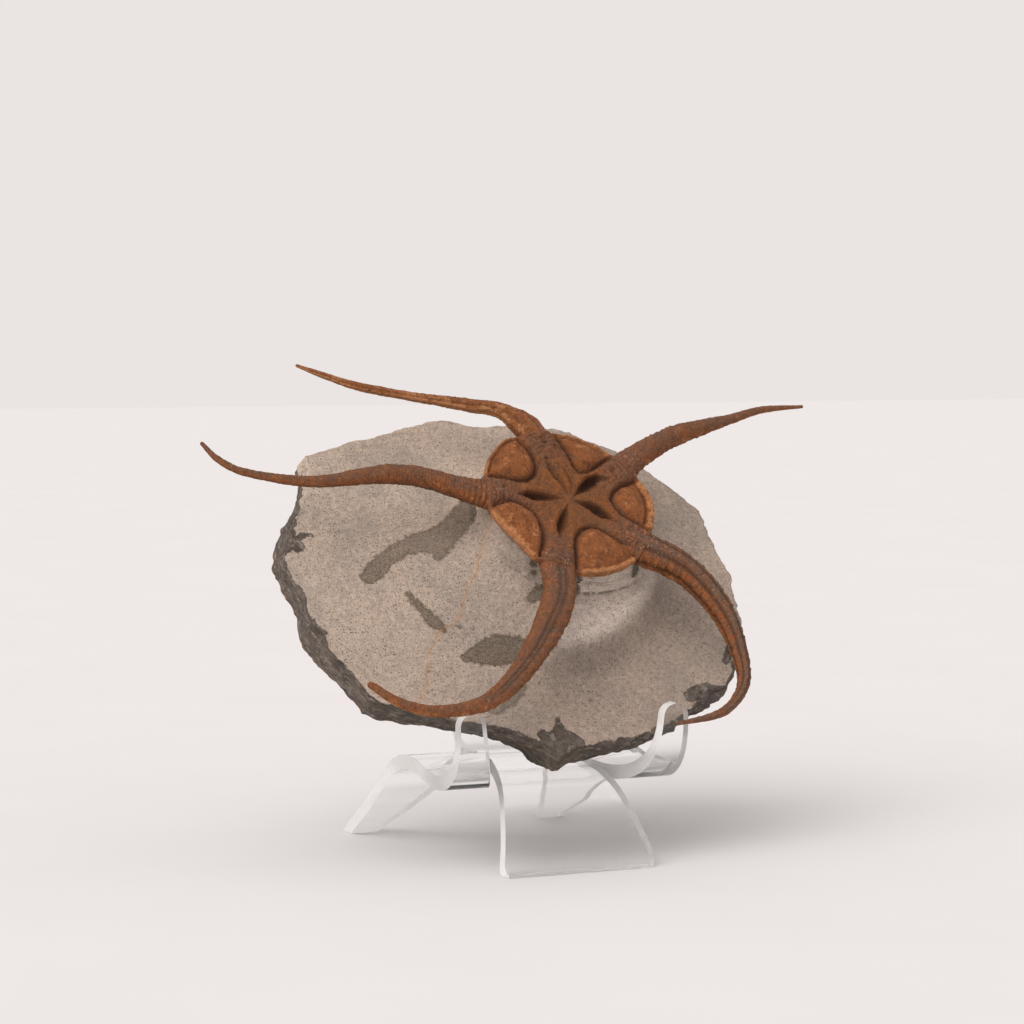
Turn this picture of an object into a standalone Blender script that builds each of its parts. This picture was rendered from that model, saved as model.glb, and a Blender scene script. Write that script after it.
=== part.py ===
"""Brittle star fossil on its matrix slab, leaning on a bent-sheet easel.

Metres, +Z up. The specimen faces -Y and leans back. Dimensions are written in
millimetres times MM. The slab, the star's disc and its five arms are modelled
in the slab's own frame: x to the right, y up the slab, z out of its face, with
the origin on the face plane right behind the middle of the star's disc.
"""

import math

import bmesh
import bpy
import numpy as np
from mathutils import Matrix, Vector, noise

MM = 0.001
GAP = 0.3 * MM

# --- placing -------------------------------------------------------------
# The whole is modelled from the point on the floor midway between the rear
# feet of the stand, then moved so that its footprint is centred.
STAND_AT = Vector((-2.46 * MM, 38.58 * MM, 0.0))
LEAN_BACK = math.radians(38.6)
SLAB_TURN = math.radians(2.8)
SLAB_FRAME_AT = Vector((8.5 * MM, -32.6 * MM, 67.2 * MM))

# --- slab ------------------------------------------------------------------
SLAB_THICKNESS = 15.0 * MM
SLAB_SIDES = 64
# The rim, the widest line round the slab, lies this far behind the face.
RIM_DEPTH = 5.5 * MM
RIM_RAGGEDNESS = 1.3 * MM
ROCK_GRAIN = 11.0 * MM
# From the rim the underside slopes in to the back.
BACK_INSET = 6.6 * MM
# The bottom tip is flat where it rests on the bent sheet, at this height over the floor.
REST_HEIGHT = 20.9 * MM
BOSS_TOP = 11.0 * MM
BOSS_RADIUS = 17.2 * MM
BOSS_WAIST = 8.4 * MM
BOSS_WAIST_RADIUS = 17.6 * MM
BOSS_FOOT = 5.4 * MM
BOSS_FOOT_RADIUS = 18.6 * MM
# Rings of the face between the boss foot and the chipped edge, as shares of the way.
FLARE_SHARES = (0.10, 0.22, 0.38, 0.56, 0.76, 1.0)
# Corners of the broken outline, anticlockwise from the upper left, in mm.
SLAB_OUTLINE = (
    (-51.2, 24.2), (-53.4, 14.8), (-57.5, 10), (-63.5, -1), (-61, -17), (-59.4, -27.2),
    (-50.4, -38.6), (-34.6, -44.6), (-18, -50.2), (-12, -54), (4, -51.8), (15, -48.4),
    (31.4, -40.8), (41.4, -27.6), (42.4, -9.8), (40.8, 5.4), (34.4, 13.4), (22, 24.4),
    (3, 30.6), (-15, 32.6), (-25.6, 31.4), (-38.6, 28.2),
)

# --- disc ------------------------------------------------------------------
DISC_RADIUS = 19.3 * MM
DISC_SIDES = 60
DISC_TOP = 14.5 * MM
DISC_UNDERSIDE = BOSS_TOP + GAP
DISC_DOME = 0.5 * MM
DISC_RING_RADII = (0.0, 1.3, 2.8, 4.3, 5.8, 7.3, 8.5, 9.6, 10.8, 12.2, 13.8, 15.4, 16.8, 17.7, 18.6)
# The lobes are domed plates between the arms, each in a U-shaped groove with a moat inside the rim lip.
LOBE_APEX = 8.6 * MM
LOBE_HALF_ANGLE = math.radians(27)
LOBE_FLARE = 8.0 * MM
LOBE_RISE = 1.5 * MM
GROOVE_DEPTH = 0.9 * MM
GROOVE_WIDTH = 0.9 * MM
MOAT_RADIUS = 17.6 * MM
MOAT_DEPTH = 0.6 * MM
MOAT_WIDTH = 0.6 * MM
# Each arm runs on over the disc as a broad band, with a petal-shaped pit near the mouth.
BAND_HALF_WIDTH = 3.6 * MM
BAND_RISE = 1.5 * MM
PIT_DEPTH = 1.9 * MM
PIT_HALF_WIDTH = 1.5 * MM
PIT_END = 10.4 * MM
ARM_ANGLES = tuple(math.radians(a) for a in (98, 171, 243, 319, 28))
LOBE_ANGLES = tuple(math.radians(a) for a in (135, 207, 287, 355, 61))
# The pit towards the upper left arm is shallow.
PIT_DEPTH_SHARES = (0.35, 1.0, 1.0, 1.0, 1.0)

# --- arms ------------------------------------------------------------------
# Route points of each centreline in the slab's frame, with the arm's width
# there: x, y, height over the slab face, width, all in mm.
ARM_ROUTES = {
    "arm_upper_left": (
        (-2.4, 17.0, 13.2, 7.4), (-4.4, 20.6, 14.0, 5.8), (-9.2, 24.2, 14.8, 3.7),
        (-16, 25.8, 14.8, 3.0), (-25, 28.0, 14.2, 2.2), (-34, 30.1, 14.0, 1.9),
        (-42.7, 32.5, 14.0, 1.7), (-54.0, 37.6, 14.2, 0.7),
    ),
    "arm_left": (
        (-17.0, 2.6, 13.2, 7.2), (-25.6, 4.7, 14.0, 5.0), (-31.5, 6.6, 14.4, 4.4),
        (-38, 7.9, 14.6, 4.4), (-45, 7.8, 14.6, 3.7), (-58.5, 6.7, 14.4, 2.4),
        (-72, 9.4, 14.2, 1.7), (-77.6, 12.9, 14.2, 1.4), (-80.6, 17.4, 14.4, 0.8),
    ),
    "arm_lower": (
        (-7.9, -15.2, 13.2, 7.9), (-9.7, -22.8, 13.4, 7.4), (-14.1, -30.2, 13.4, 6.6),
        (-20.0, -37.1, 13.0, 5.4), (-26.6, -43.4, 12.6, 4.4), (-33.2, -47.6, 12.4, 3.5),
        (-40.0, -49.2, 12.2, 2.8), (-47.2, -49.2, 12.4, 2.4), (-53.6, -46.9, 12.8, 2.0),
        (-59.2, -42.3, 13.2, 1.4),
    ),
    "arm_lower_right": (
        (12.6, -11.2, 13.2, 8.2), (21.8, -17.5, 13.2, 6.4), (26.5, -24.4, 13.0, 5.6),
        (28.5, -32.0, 13.0, 4.6), (28.2, -41.1, 13.2, 3.4), (26.4, -47.5, 13.6, 2.7),
        (22.2, -52.4, 14.0, 2.2), (16.4, -55.6, 14.4, 1.7), (5.9, -57.2, 14.4, 0.7),
    ),
    "arm_upper_right": (
        (15.0, 8.2, 13.2, 7.2), (22.2, 12.4, 14.2, 5.4), (31.4, 16.7, 14.4, 4.7),
        (40, 19.2, 14.4, 3.5), (48.7, 21.5, 14.4, 2.3), (57.6, 23.9, 14.4, 1.6),
        (69, 24.7, 14.4, 0.7),
    ),
}
ARM_RINGS = 19
ARM_ROOT_AT = DISC_RADIUS + GAP
ARM_ROOT_FLATNESS = 0.72
SEGMENT_LENGTH = 4.2 * MM
SEGMENT_SWELL = 0.05

# --- stand -----------------------------------------------------------------
SHEET = 3.0 * MM
STAND_HALF_WIDTH = 26.2 * MM
FRONT_SLIT_START = 11.0 * MM
REAR_SLIT_START = 8.6 * MM
PRONG_TIP_INNER = 20.6 * MM
FRONT_LEG_HALF_WIDTH = 18.2 * MM
REAR_FOOT_INNER = 21.6 * MM
BACK_REST_HALF_WIDTH = 17.6 * MM
MIDDLE_COLUMNS = 4
SIDE_COLUMNS = 2
# Middle line of the bent sheet, from the side: y and z in mm.
HUMP_LINE = ((-44, 20.0), (-40.5, 20.5), (-37, 20.6), (-33, 20.1))
PRONG_LINE = (
    (-44, 20.0), (-49, 18.9), (-54.5, 18.4), (-59.5, 19.6), (-63.2, 22.8), (-64.9, 27.6), (-65.1, 34.2),
)
FRONT_LEG_LINE = (
    (-44, 20.0), (-48, 19.3), (-51.8, 18.4), (-55.8, 16.8), (-59.2, 14.2), (-61.9, 10.9),
    (-64.3, 7.6), (-66.4, 3.9), (-68.6, -1.6),
)
REAR_LEG_LINE = (
    (-33, 20.1), (-28.2, 18.3), (-24.2, 15.8), (-20.4, 12.7), (-16, 9.6), (-11, 6.4), (1.8, -1.4),
)
BACK_REST_LINE = (
    (-33, 20.1), (-29.8, 20.8), (-27.9, 22.9), (-27.2, 26.5), (-26.6, 36), (-25.6, 49),
)


# --- small helpers ---------------------------------------------------------
def clear_scene():
    """Remove whatever the scene holds."""
    for obj in list(bpy.data.objects):
        bpy.data.objects.remove(obj, do_unlink=True)


def material(name, colour, roughness, transmission=0.0, ior=1.5):
    """One Principled material."""
    made = bpy.data.materials.new(name)
    made.use_nodes = True
    shader = made.node_tree.nodes["Principled BSDF"]
    shader.inputs["Base Color"].default_value = (*colour, 1.0)
    shader.inputs["Roughness"].default_value = roughness
    shader.inputs["Metallic"].default_value = 0.0
    shader.inputs["Transmission Weight"].default_value = transmission
    shader.inputs["IOR"].default_value = ior
    return made


def empty(name, at, parent=None, turn=(0.0, 0.0, 0.0)):
    """A named frame that other objects hang from."""
    frame = bpy.data.objects.new(name, None)
    frame.empty_display_size = 0.02
    frame.location = at
    frame.rotation_euler = turn
    frame.parent = parent
    bpy.context.scene.collection.objects.link(frame)
    return frame


def finish(name, bm, collection, parent, surface):
    """Close the bmesh into a named object with its material."""
    bmesh.ops.recalc_face_normals(bm, faces=bm.faces)
    mesh = bpy.data.meshes.new(name)
    bm.to_mesh(mesh)
    bm.free()
    mesh.materials.append(surface)
    mesh.shade_smooth()
    mesh.set_sharp_from_angle(angle=math.radians(50))
    obj = bpy.data.objects.new(name, mesh)
    obj.parent = parent
    collection.objects.link(obj)
    return obj


def smooth_line(points, count):
    """Evenly spaced points on a smooth curve through the given ones."""
    knots = np.array(points, dtype=float)
    ends = np.vstack((2 * knots[0] - knots[1], knots, 2 * knots[-1] - knots[-2]))
    dense = []
    for before, start, end, after in zip(ends, ends[1:], ends[2:], ends[3:]):
        for t in np.arange(0.0, 1.0, 0.05):
            dense.append(
                0.5
                * (
                    2 * start
                    + (end - before) * t
                    + (2 * before - 5 * start + 4 * end - after) * t**2
                    + (3 * start - before - 3 * end + after) * t**3
                )
            )
    dense.append(knots[-1])
    dense = np.array(dense)
    travelled = np.concatenate(([0.0], np.cumsum(np.linalg.norm(np.diff(dense, axis=0), axis=1))))
    wanted = np.linspace(0.0, travelled[-1], count)
    return np.stack([np.interp(wanted, travelled, column) for column in dense.T], axis=1)


def ease(value, low, high):
    """Smooth step from 0 at low to 1 at high."""
    t = min(max((value - low) / (high - low), 0.0), 1.0)
    return t * t * (3.0 - 2.0 * t)


def angle_between(a, b):
    """Signed difference of two angles, within half a turn."""
    return (a - b + math.pi) % math.tau - math.pi


def spin_profile(bm, profile, sides):
    """Turn a profile of (radius, height) points about Z into a closed blank."""
    verts = [bm.verts.new((radius, 0.0, height)) for radius, height in profile]
    edges = [bm.edges.new(pair) for pair in zip(verts, verts[1:])]
    bmesh.ops.spin(
        bm,
        geom=verts + edges,
        cent=(0.0, 0.0, 0.0),
        axis=(0.0, 0.0, 1.0),
        angle=math.tau,
        steps=sides,
    )
    bmesh.ops.remove_doubles(bm, verts=bm.verts, dist=1e-6)


def cut_flat(bm, point, normal):
    """Cut away what lies behind a plane and close the cut."""
    geometry = bm.verts[:] + bm.edges[:] + bm.faces[:]
    bmesh.ops.bisect_plane(bm, geom=geometry, dist=1e-6, plane_co=point, plane_no=normal, clear_inner=True)
    open_edges = [edge for edge in bm.edges if edge.is_boundary]
    bmesh.ops.holes_fill(bm, edges=open_edges, sides=0)


def thickened(bm, thickness):
    """The open surface in the bmesh, given its thickness half to each side."""
    mesh = bpy.data.meshes.new("open_sheet")
    bm.to_mesh(mesh)
    bm.free()
    sheet = bpy.data.objects.new("open_sheet", mesh)
    bpy.context.scene.collection.objects.link(sheet)
    solidify = sheet.modifiers.new("Sheet", "SOLIDIFY")
    solidify.thickness = thickness
    solidify.offset = 0.0
    solidify.use_even_offset = True
    solid = evaluated_bmesh(sheet)
    bpy.data.objects.remove(sheet, do_unlink=True)
    return solid


def evaluated_bmesh(obj):
    """A bmesh of the object as its modifiers or its bevel leave it."""
    graph = bpy.context.evaluated_depsgraph_get()
    mesh = bpy.data.meshes.new_from_object(obj.evaluated_get(graph))
    bm = bmesh.new()
    bm.from_mesh(mesh)
    bpy.data.meshes.remove(mesh)
    return bm


# --- slab ------------------------------------------------------------------
def outline_radius(angle):
    """Distance from the frame's origin to the slab's broken outline."""
    ray = Vector((math.cos(angle), math.sin(angle)))
    corners = [Vector(corner) * MM for corner in SLAB_OUTLINE]
    for start, end in zip(corners, corners[1:] + corners[:1]):
        side = end - start
        turn = ray.cross(side)
        if abs(turn) < 1e-12:
            continue
        distance = start.cross(side) / turn
        along = start.cross(ray) / turn
        if distance > 0 and -1e-9 <= along <= 1 + 1e-9:
            return distance
    raise ValueError("the outline does not go round the origin")


def chipped_width(angle):
    """How far the chipped edge reaches into the face, wider at the left and at the bottom tip."""
    left_and_bottom = 1.6 * MM * (0.5 - 0.5 * math.cos(angle_between(angle, math.radians(35))))
    bottom_scar = 5.0 * MM * math.exp(-((angle_between(angle, math.radians(256)) / 0.10) ** 2))
    return 1.5 * MM + left_and_bottom + bottom_scar


def flare_height(radius, angle):
    """Height of the face where the boss runs out into the slab."""
    reach = (8.5 + 3.5 * (0.5 - 0.5 * math.cos(angle_between(angle, math.radians(20))))) * MM
    return BOSS_FOOT * math.exp(-(radius - BOSS_FOOT_RADIUS) / reach)


def slab_section(angle):
    """The slab cut at one angle round the boss: (radius, height, roughness) from the top to the back."""
    around = Vector((math.cos(angle), math.sin(angle), 0.0))
    rim = outline_radius(angle) + RIM_RAGGEDNESS * noise.noise(around * 9.0)
    face_edge = rim - chipped_width(angle) * (1.0 + 0.5 * noise.noise(around * 13.0))
    boss = [
        (0.0, BOSS_TOP, 0.0),
        (BOSS_RADIUS, BOSS_TOP, 0.0),
        (BOSS_WAIST_RADIUS, BOSS_WAIST, 0.0),
        (BOSS_FOOT_RADIUS, BOSS_FOOT, 0.0),
    ]
    face = []
    for share in FLARE_SHARES:
        radius = BOSS_FOOT_RADIUS + share * (face_edge - BOSS_FOOT_RADIUS)
        face.append((radius, flare_height(radius, angle), 0.55 * MM))
    middle = -0.5 * (RIM_DEPTH + SLAB_THICKNESS)
    side_and_back = [
        (rim, -RIM_DEPTH, 2.4 * MM),
        (rim - 0.45 * BACK_INSET, middle, 2.4 * MM),
        (rim - BACK_INSET, -SLAB_THICKNESS, 0.0),
        (0.5 * (rim - BACK_INSET), -SLAB_THICKNESS, 0.0),
        (0.0, -SLAB_THICKNESS, 0.0),
    ]
    return boss + face + side_and_back


def matrix_slab(collection, parent, surface):
    """The rock: a turned blank whose rings are stretched to the boss and the broken outline."""
    rings = len(slab_section(0.0))
    last = rings - 1
    blank = [(MM if 0 < ring < last else 0.0, -ring * MM) for ring in range(rings)]
    bm = bmesh.new()
    spin_profile(bm, blank, SLAB_SIDES)
    for vert in bm.verts:
        ring = round(-vert.co.z / MM)
        angle = math.atan2(vert.co.y, vert.co.x)
        radius, height, roughness = slab_section(angle)[ring]
        place = Vector((radius * math.cos(angle), radius * math.sin(angle), height))
        place.z += roughness * noise.noise(place / ROCK_GRAIN)
        vert.co = place
    turn = Matrix.Rotation(SLAB_TURN, 3, "Z") @ Matrix.Rotation(math.pi / 2 - LEAN_BACK, 3, "X")
    up = turn.inverted() @ Vector((0.0, 0.0, 1.0))
    cut_flat(bm, up * (REST_HEIGHT - SLAB_FRAME_AT.z), up)
    return finish("matrix_slab", bm, collection, parent, surface)


# --- disc ------------------------------------------------------------------
def lobe_relief(radius, off):
    """Height that one lobe adds at an angle off its middle."""
    spread = abs(off) / LOBE_HALF_ANGLE
    inner = LOBE_APEX + LOBE_FLARE * spread**2.2
    dome = ease(radius, inner, inner + 3.4 * MM) * (1.0 - ease(radius, 15.6 * MM, 18.0 * MM))
    groove = math.exp(-(((radius - inner) / GROOVE_WIDTH) ** 2)) * (1.0 - ease(spread, 0.95, 1.25))
    moat = math.exp(-(((radius - MOAT_RADIUS) / MOAT_WIDTH) ** 2)) * (1.0 - ease(spread, 0.8, 1.0))
    return LOBE_RISE * dome * (1.0 - ease(spread, 0.55, 1.05)) - GROOVE_DEPTH * groove - MOAT_DEPTH * moat


def band_relief(radius, off, pit_share):
    """Height that one arm's band and its pit add at an angle off the arm."""
    across = abs(radius * math.sin(off)) if abs(off) < math.pi / 2 else radius
    band = math.exp(-((across / BAND_HALF_WIDTH) ** 4)) * ease(radius, 8.0 * MM, 17.5 * MM)
    if radius >= PIT_END:
        return BAND_RISE * band
    half_width = PIT_HALF_WIDTH * math.sin(math.pi * radius / PIT_END) ** 0.8 + 1e-6
    return BAND_RISE * band - PIT_DEPTH * pit_share * math.exp(-((across / half_width) ** 2))


def disc_relief(radius, angle):
    """Height of the disc's upper face over its rim plane."""
    lobes = sum(lobe_relief(radius, angle_between(angle, lobe)) for lobe in LOBE_ANGLES)
    bands = sum(
        band_relief(radius, angle_between(angle, arm_angle), share)
        for arm_angle, share in zip(ARM_ANGLES, PIT_DEPTH_SHARES)
    )
    return lobes + bands + DISC_DOME * (1.0 - (radius / DISC_RADIUS) ** 2)


def star_disc(collection, parent, surface):
    """The star's disc: lobes, grooves, pits and arm roots on a flat-bottomed plate."""
    bm = bmesh.new()
    top = [(radius * MM, DISC_TOP) for radius in DISC_RING_RADII]
    edge = [
        (DISC_RADIUS, DISC_TOP - 0.5 * MM),
        (DISC_RADIUS - 0.2 * MM, DISC_TOP - 1.4 * MM),
        (DISC_RADIUS - 1.6 * MM, DISC_UNDERSIDE),
        (0.0, DISC_UNDERSIDE),
    ]
    spin_profile(bm, top + edge, DISC_SIDES)
    for vert in bm.verts:
        radius = math.hypot(vert.co.x, vert.co.y)
        angle = math.atan2(vert.co.y, vert.co.x)
        if vert.co.z > DISC_TOP - 0.7 * MM:
            vert.co.z += disc_relief(radius, angle)
    return finish("star_disc", bm, collection, parent, surface)


# --- arms ------------------------------------------------------------------
def arm(name, collection, parent, surface):
    """One tapering arm: a bevelled curve, flattened at its root and swollen at each segment."""
    line = smooth_line(ARM_ROUTES[name], ARM_RINGS) * MM
    curve = bpy.data.curves.new(name, "CURVE")
    curve.dimensions = "3D"
    curve.bevel_depth = 1.0
    curve.bevel_resolution = 3
    curve.use_fill_caps = True
    spline = curve.splines.new("POLY")
    spline.points.add(len(line) - 1)
    for point, (x, y, z, width) in zip(spline.points, line):
        point.co = (x, y, z, 1.0)
        point.radius = width / 2
    tube = bpy.data.objects.new(name + "_curve", curve)
    collection.objects.link(tube)
    bm = evaluated_bmesh(tube)
    bpy.data.objects.remove(tube, do_unlink=True)
    bmesh.ops.remove_doubles(bm, verts=bm.verts, dist=1e-6)
    travelled = np.concatenate(([0.0], np.cumsum(np.linalg.norm(np.diff(line[:, :3], axis=0), axis=1))))
    for vert in bm.verts:
        nearest = int(np.argmin(np.linalg.norm(line[:, :3] - np.array(vert.co), axis=1)))
        centre = Vector(line[nearest, :3])
        out = vert.co - centre
        flatness = ARM_ROOT_FLATNESS + (1.0 - ARM_ROOT_FLATNESS) * ease(travelled[nearest], 0.0, 14 * MM)
        swell = 1.0 + SEGMENT_SWELL * math.cos(math.tau * travelled[nearest] / SEGMENT_LENGTH)
        vert.co = centre + Vector((out.x, out.y, out.z * flatness)) * (swell if nearest else 1.0)
    root = Vector((line[0, 0], line[0, 1], 0.0)).normalized()
    cut_flat(bm, root * ARM_ROOT_AT, root)
    return finish(name, bm, collection, parent, surface)


# --- stand -----------------------------------------------------------------
def sheet_panel(bm, line, left, right, columns, bowed=False):
    """A strip of the bent sheet along a side line, between two edges given as (start, end) x.

    A bowed edge moves most of its way in the first half of the line.
    """
    rows = len(line) - 1
    made = bmesh.ops.create_grid(bm, x_segments=columns, y_segments=rows, size=0.5)
    for vert in made["verts"]:
        across = vert.co.x + 0.5
        along = vert.co.y + 0.5
        y, z = line[round(along * rows)]
        share = math.sin(0.5 * math.pi * along) ** 1.3 if bowed else along
        near = left[0] + (left[1] - left[0]) * share
        far = right[0] + (right[1] - right[0]) * share
        vert.co = (near + (far - near) * across, y, z)


def display_stand(collection, parent, surface):
    """The easel: one clear sheet, slit and bent into prongs, legs and a back rest."""
    hump = smooth_line(HUMP_LINE, 4) * MM
    prong = smooth_line(PRONG_LINE, 15) * MM
    front_leg = smooth_line(FRONT_LEG_LINE, 12) * MM
    rear_leg = smooth_line(REAR_LEG_LINE, 10) * MM
    back_rest = smooth_line(BACK_REST_LINE, 11) * MM
    slits = (FRONT_SLIT_START, REAR_SLIT_START)
    leg_edge = (FRONT_SLIT_START, FRONT_LEG_HALF_WIDTH)
    rest_edge = (REAR_SLIT_START, BACK_REST_HALF_WIDTH)
    prong_edge = (FRONT_SLIT_START, PRONG_TIP_INNER)
    foot_edge = (REAR_SLIT_START, REAR_FOOT_INNER)
    bm = bmesh.new()
    for line, edge in ((hump, slits), (front_leg, leg_edge), (back_rest, rest_edge)):
        sheet_panel(bm, line, [-x for x in edge], edge, MIDDLE_COLUMNS)
    for sign in (-1, 1):
        outer = (sign * STAND_HALF_WIDTH, sign * STAND_HALF_WIDTH)
        for line, edge in ((hump, slits), (prong, prong_edge), (rear_leg, foot_edge)):
            sheet_panel(bm, line, [sign * x for x in edge], outer, SIDE_COLUMNS, line is prong)
    bmesh.ops.remove_doubles(bm, verts=bm.verts, dist=1e-6)
    bmesh.ops.recalc_face_normals(bm, faces=bm.faces)
    bm = thickened(bm, SHEET)
    cut_flat(bm, Vector((0.0, 0.0, 0.0)), Vector((0.0, 0.0, 1.0)))
    return finish("display_stand", bm, collection, parent, surface)


def build():
    """Make every piece of the specimen."""
    clear_scene()
    collection = bpy.data.collections.new("brittle_star_fossil")
    bpy.context.scene.collection.children.link(collection)
    rock = material("matrix_rock", (0.36, 0.33, 0.30), 0.9)
    fossil = material("fossil_orange_brown", (0.33, 0.12, 0.05), 0.6)
    acrylic = material("clear_acrylic", (1.0, 1.0, 1.0), 0.03, transmission=1.0, ior=1.49)
    stand_frame = empty("stand_frame", STAND_AT)
    slab_frame = empty(
        "slab_frame", SLAB_FRAME_AT, stand_frame, (math.pi / 2 - LEAN_BACK, 0.0, SLAB_TURN)
    )
    matrix_slab(collection, slab_frame, rock)
    star_disc(collection, slab_frame, fossil)
    for name in ARM_ROUTES:
        arm(name, collection, slab_frame, fossil)
    display_stand(collection, stand_frame, acrylic)


build()
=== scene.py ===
"""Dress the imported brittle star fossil: fine meshes, finishes, floor, light and camera.

Shapes are worked out in millimetres in the slab's own axes (x to the right, y up
the slab, z out of its face, from the face plane behind the middle of the star's
disc) or, for the easel, in the easel's axes. They are turned into the row frame,
in metres, when a piece is finished.
"""

import logging
import math
from dataclasses import dataclass
from enum import Enum
from typing import Sequence

import bmesh
import bpy
import numpy as np
from mathutils import Euler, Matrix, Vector, noise

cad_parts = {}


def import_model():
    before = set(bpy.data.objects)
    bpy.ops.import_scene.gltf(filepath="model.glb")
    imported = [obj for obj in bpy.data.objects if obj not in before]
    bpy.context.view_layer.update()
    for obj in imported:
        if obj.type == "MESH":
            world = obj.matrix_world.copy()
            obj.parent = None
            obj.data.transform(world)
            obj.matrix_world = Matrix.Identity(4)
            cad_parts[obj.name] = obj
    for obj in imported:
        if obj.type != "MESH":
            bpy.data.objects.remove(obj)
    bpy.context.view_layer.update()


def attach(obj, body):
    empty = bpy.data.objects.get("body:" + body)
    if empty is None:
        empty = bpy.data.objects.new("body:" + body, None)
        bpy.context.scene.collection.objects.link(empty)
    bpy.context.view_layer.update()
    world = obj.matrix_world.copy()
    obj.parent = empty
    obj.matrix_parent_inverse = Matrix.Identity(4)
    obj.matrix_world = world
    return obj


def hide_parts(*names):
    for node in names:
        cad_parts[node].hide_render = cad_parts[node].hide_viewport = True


MM = 0.001
# Vertices nearer than this are merged, in the units that a mesh is shaped in.
MERGE = 1e-4
# Lean of the slab's face from upright, and its turn about the upright axis, in degrees.
SLAB_LEAN = 38.6
SLAB_TURN = 2.8
SLAB_TILT = (math.radians(90.0 - SLAB_LEAN), 0.0, math.radians(SLAB_TURN))
Route = Sequence[Sequence[float]]
Triple = tuple[float, float, float]
Array = np.ndarray
BMesh = bmesh.types.BMesh
Mesh = bpy.types.Mesh
Material = bpy.types.Material
Node = bpy.types.Node
NodeTree = bpy.types.NodeTree
Socket = bpy.types.NodeSocket
log = logging.getLogger("brittle_star_fossil")


# --- shaping helpers ---------------------------------------------------------
def ease(value: Array, low: float, high: float) -> Array:
    """Smooth step from 0 at low to 1 at high."""
    share = np.clip((value - low) / (high - low), 0.0, 1.0)
    return share * share * (3.0 - 2.0 * share)


def bell(value: Array, width: float) -> Array:
    """A bell of height 1 around 0."""
    return np.exp(-((value / width) ** 2))


def between(value: Array, rise: Sequence[float], fall: Sequence[float]) -> Array:
    """1 between two smooth steps and 0 outside them.

    Args:
        value: Numbers to look up.
        rise: Where the step up starts and ends.
        fall: Where the step down starts and ends.

    Returns:
        One value for each number.
    """
    return ease(value, *rise) * (1.0 - ease(value, *fall))


def read_table(knots: Route, degrees: Array) -> Array:
    """Read a table of angle and value at some angles."""
    rows = np.array(knots, dtype=float)
    return np.interp(degrees % 360.0, rows[:, 0], rows[:, 1])


def bearing(plane: Array) -> Array:
    """Angle of places round the origin, in degrees from 0 to 360."""
    return np.degrees(np.arctan2(plane[:, 1], plane[:, 0])) % 360.0


def on_circle(angles: Array) -> Array:
    """Places on the unit circle, in three dimensions."""
    return np.stack((np.cos(angles), np.sin(angles), np.zeros_like(angles)), axis=1)


def shares(count: int) -> Array:
    """Evenly spaced shares up to 1, without 0."""
    return np.linspace(0.0, 1.0, count + 1)[1:]


def angle_between(first: Array, second: float) -> Array:
    """Signed difference of two angles in degrees, within half a turn."""
    return (first - second + 180.0) % 360.0 - 180.0


def noise_at(points: Array, size: float, seed: float = 0.0) -> Array:
    """Smooth noise of about -1 to 1.

    Args:
        points: Places in three dimensions, in mm.
        size: Size of the noise's features, in mm.
        seed: Moves the noise, so that two layers differ.

    Returns:
        One value for each point.
    """
    return np.array([noise.noise(place) for place in (points / size + seed).tolist()])


def facets_at(points: Array, size: float) -> Array:
    """Angular chips: 0 on the ridges between chips and up to about 1 inside them.

    Args:
        points: Places in three dimensions, in mm.
        size: Size of one chip, in mm.

    Returns:
        One value for each point.
    """
    values = []
    for place in (points / size).tolist():
        distances, _ = noise.voronoi(place)
        values.append(distances[1] - distances[0])
    return np.array(values)


def smooth_line(points: Route, count: int) -> Array:
    """Evenly spaced points on a smooth curve through the given ones.

    Args:
        points: Route points; columns after the place are carried along.
        count: Number of points wanted.

    Returns:
        An array with a row for each wanted point.
    """
    knots = np.array(points, dtype=float)
    ends = np.vstack((2 * knots[0] - knots[1], knots, 2 * knots[-1] - knots[-2]))
    dense = []
    for before, start, end, after in zip(ends, ends[1:], ends[2:], ends[3:]):
        for t in np.arange(0.0, 1.0, 0.05):
            slope = (end - before) * t
            bend = (2 * before - 5 * start + 4 * end - after) * t**2
            twist = (3 * start - before - 3 * end + after) * t**3
            dense.append(0.5 * (2 * start + slope + bend + twist))
    dense = np.array(dense + [knots[-1]])
    travelled = path_length(dense)
    wanted = np.linspace(0.0, travelled[-1], count)
    return np.stack([np.interp(wanted, travelled, column) for column in dense.T], axis=1)


def path_length(line: Array) -> Array:
    """Length travelled along a line at each of its points."""
    steps = np.linalg.norm(np.diff(line, axis=0), axis=1)
    return np.concatenate(([0.0], np.cumsum(steps)))


@dataclass
class RouteReading:
    """Where points lie beside a route drawn on a plane."""

    distance: Array
    offset: Array
    columns: Array
    share: Array


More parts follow.
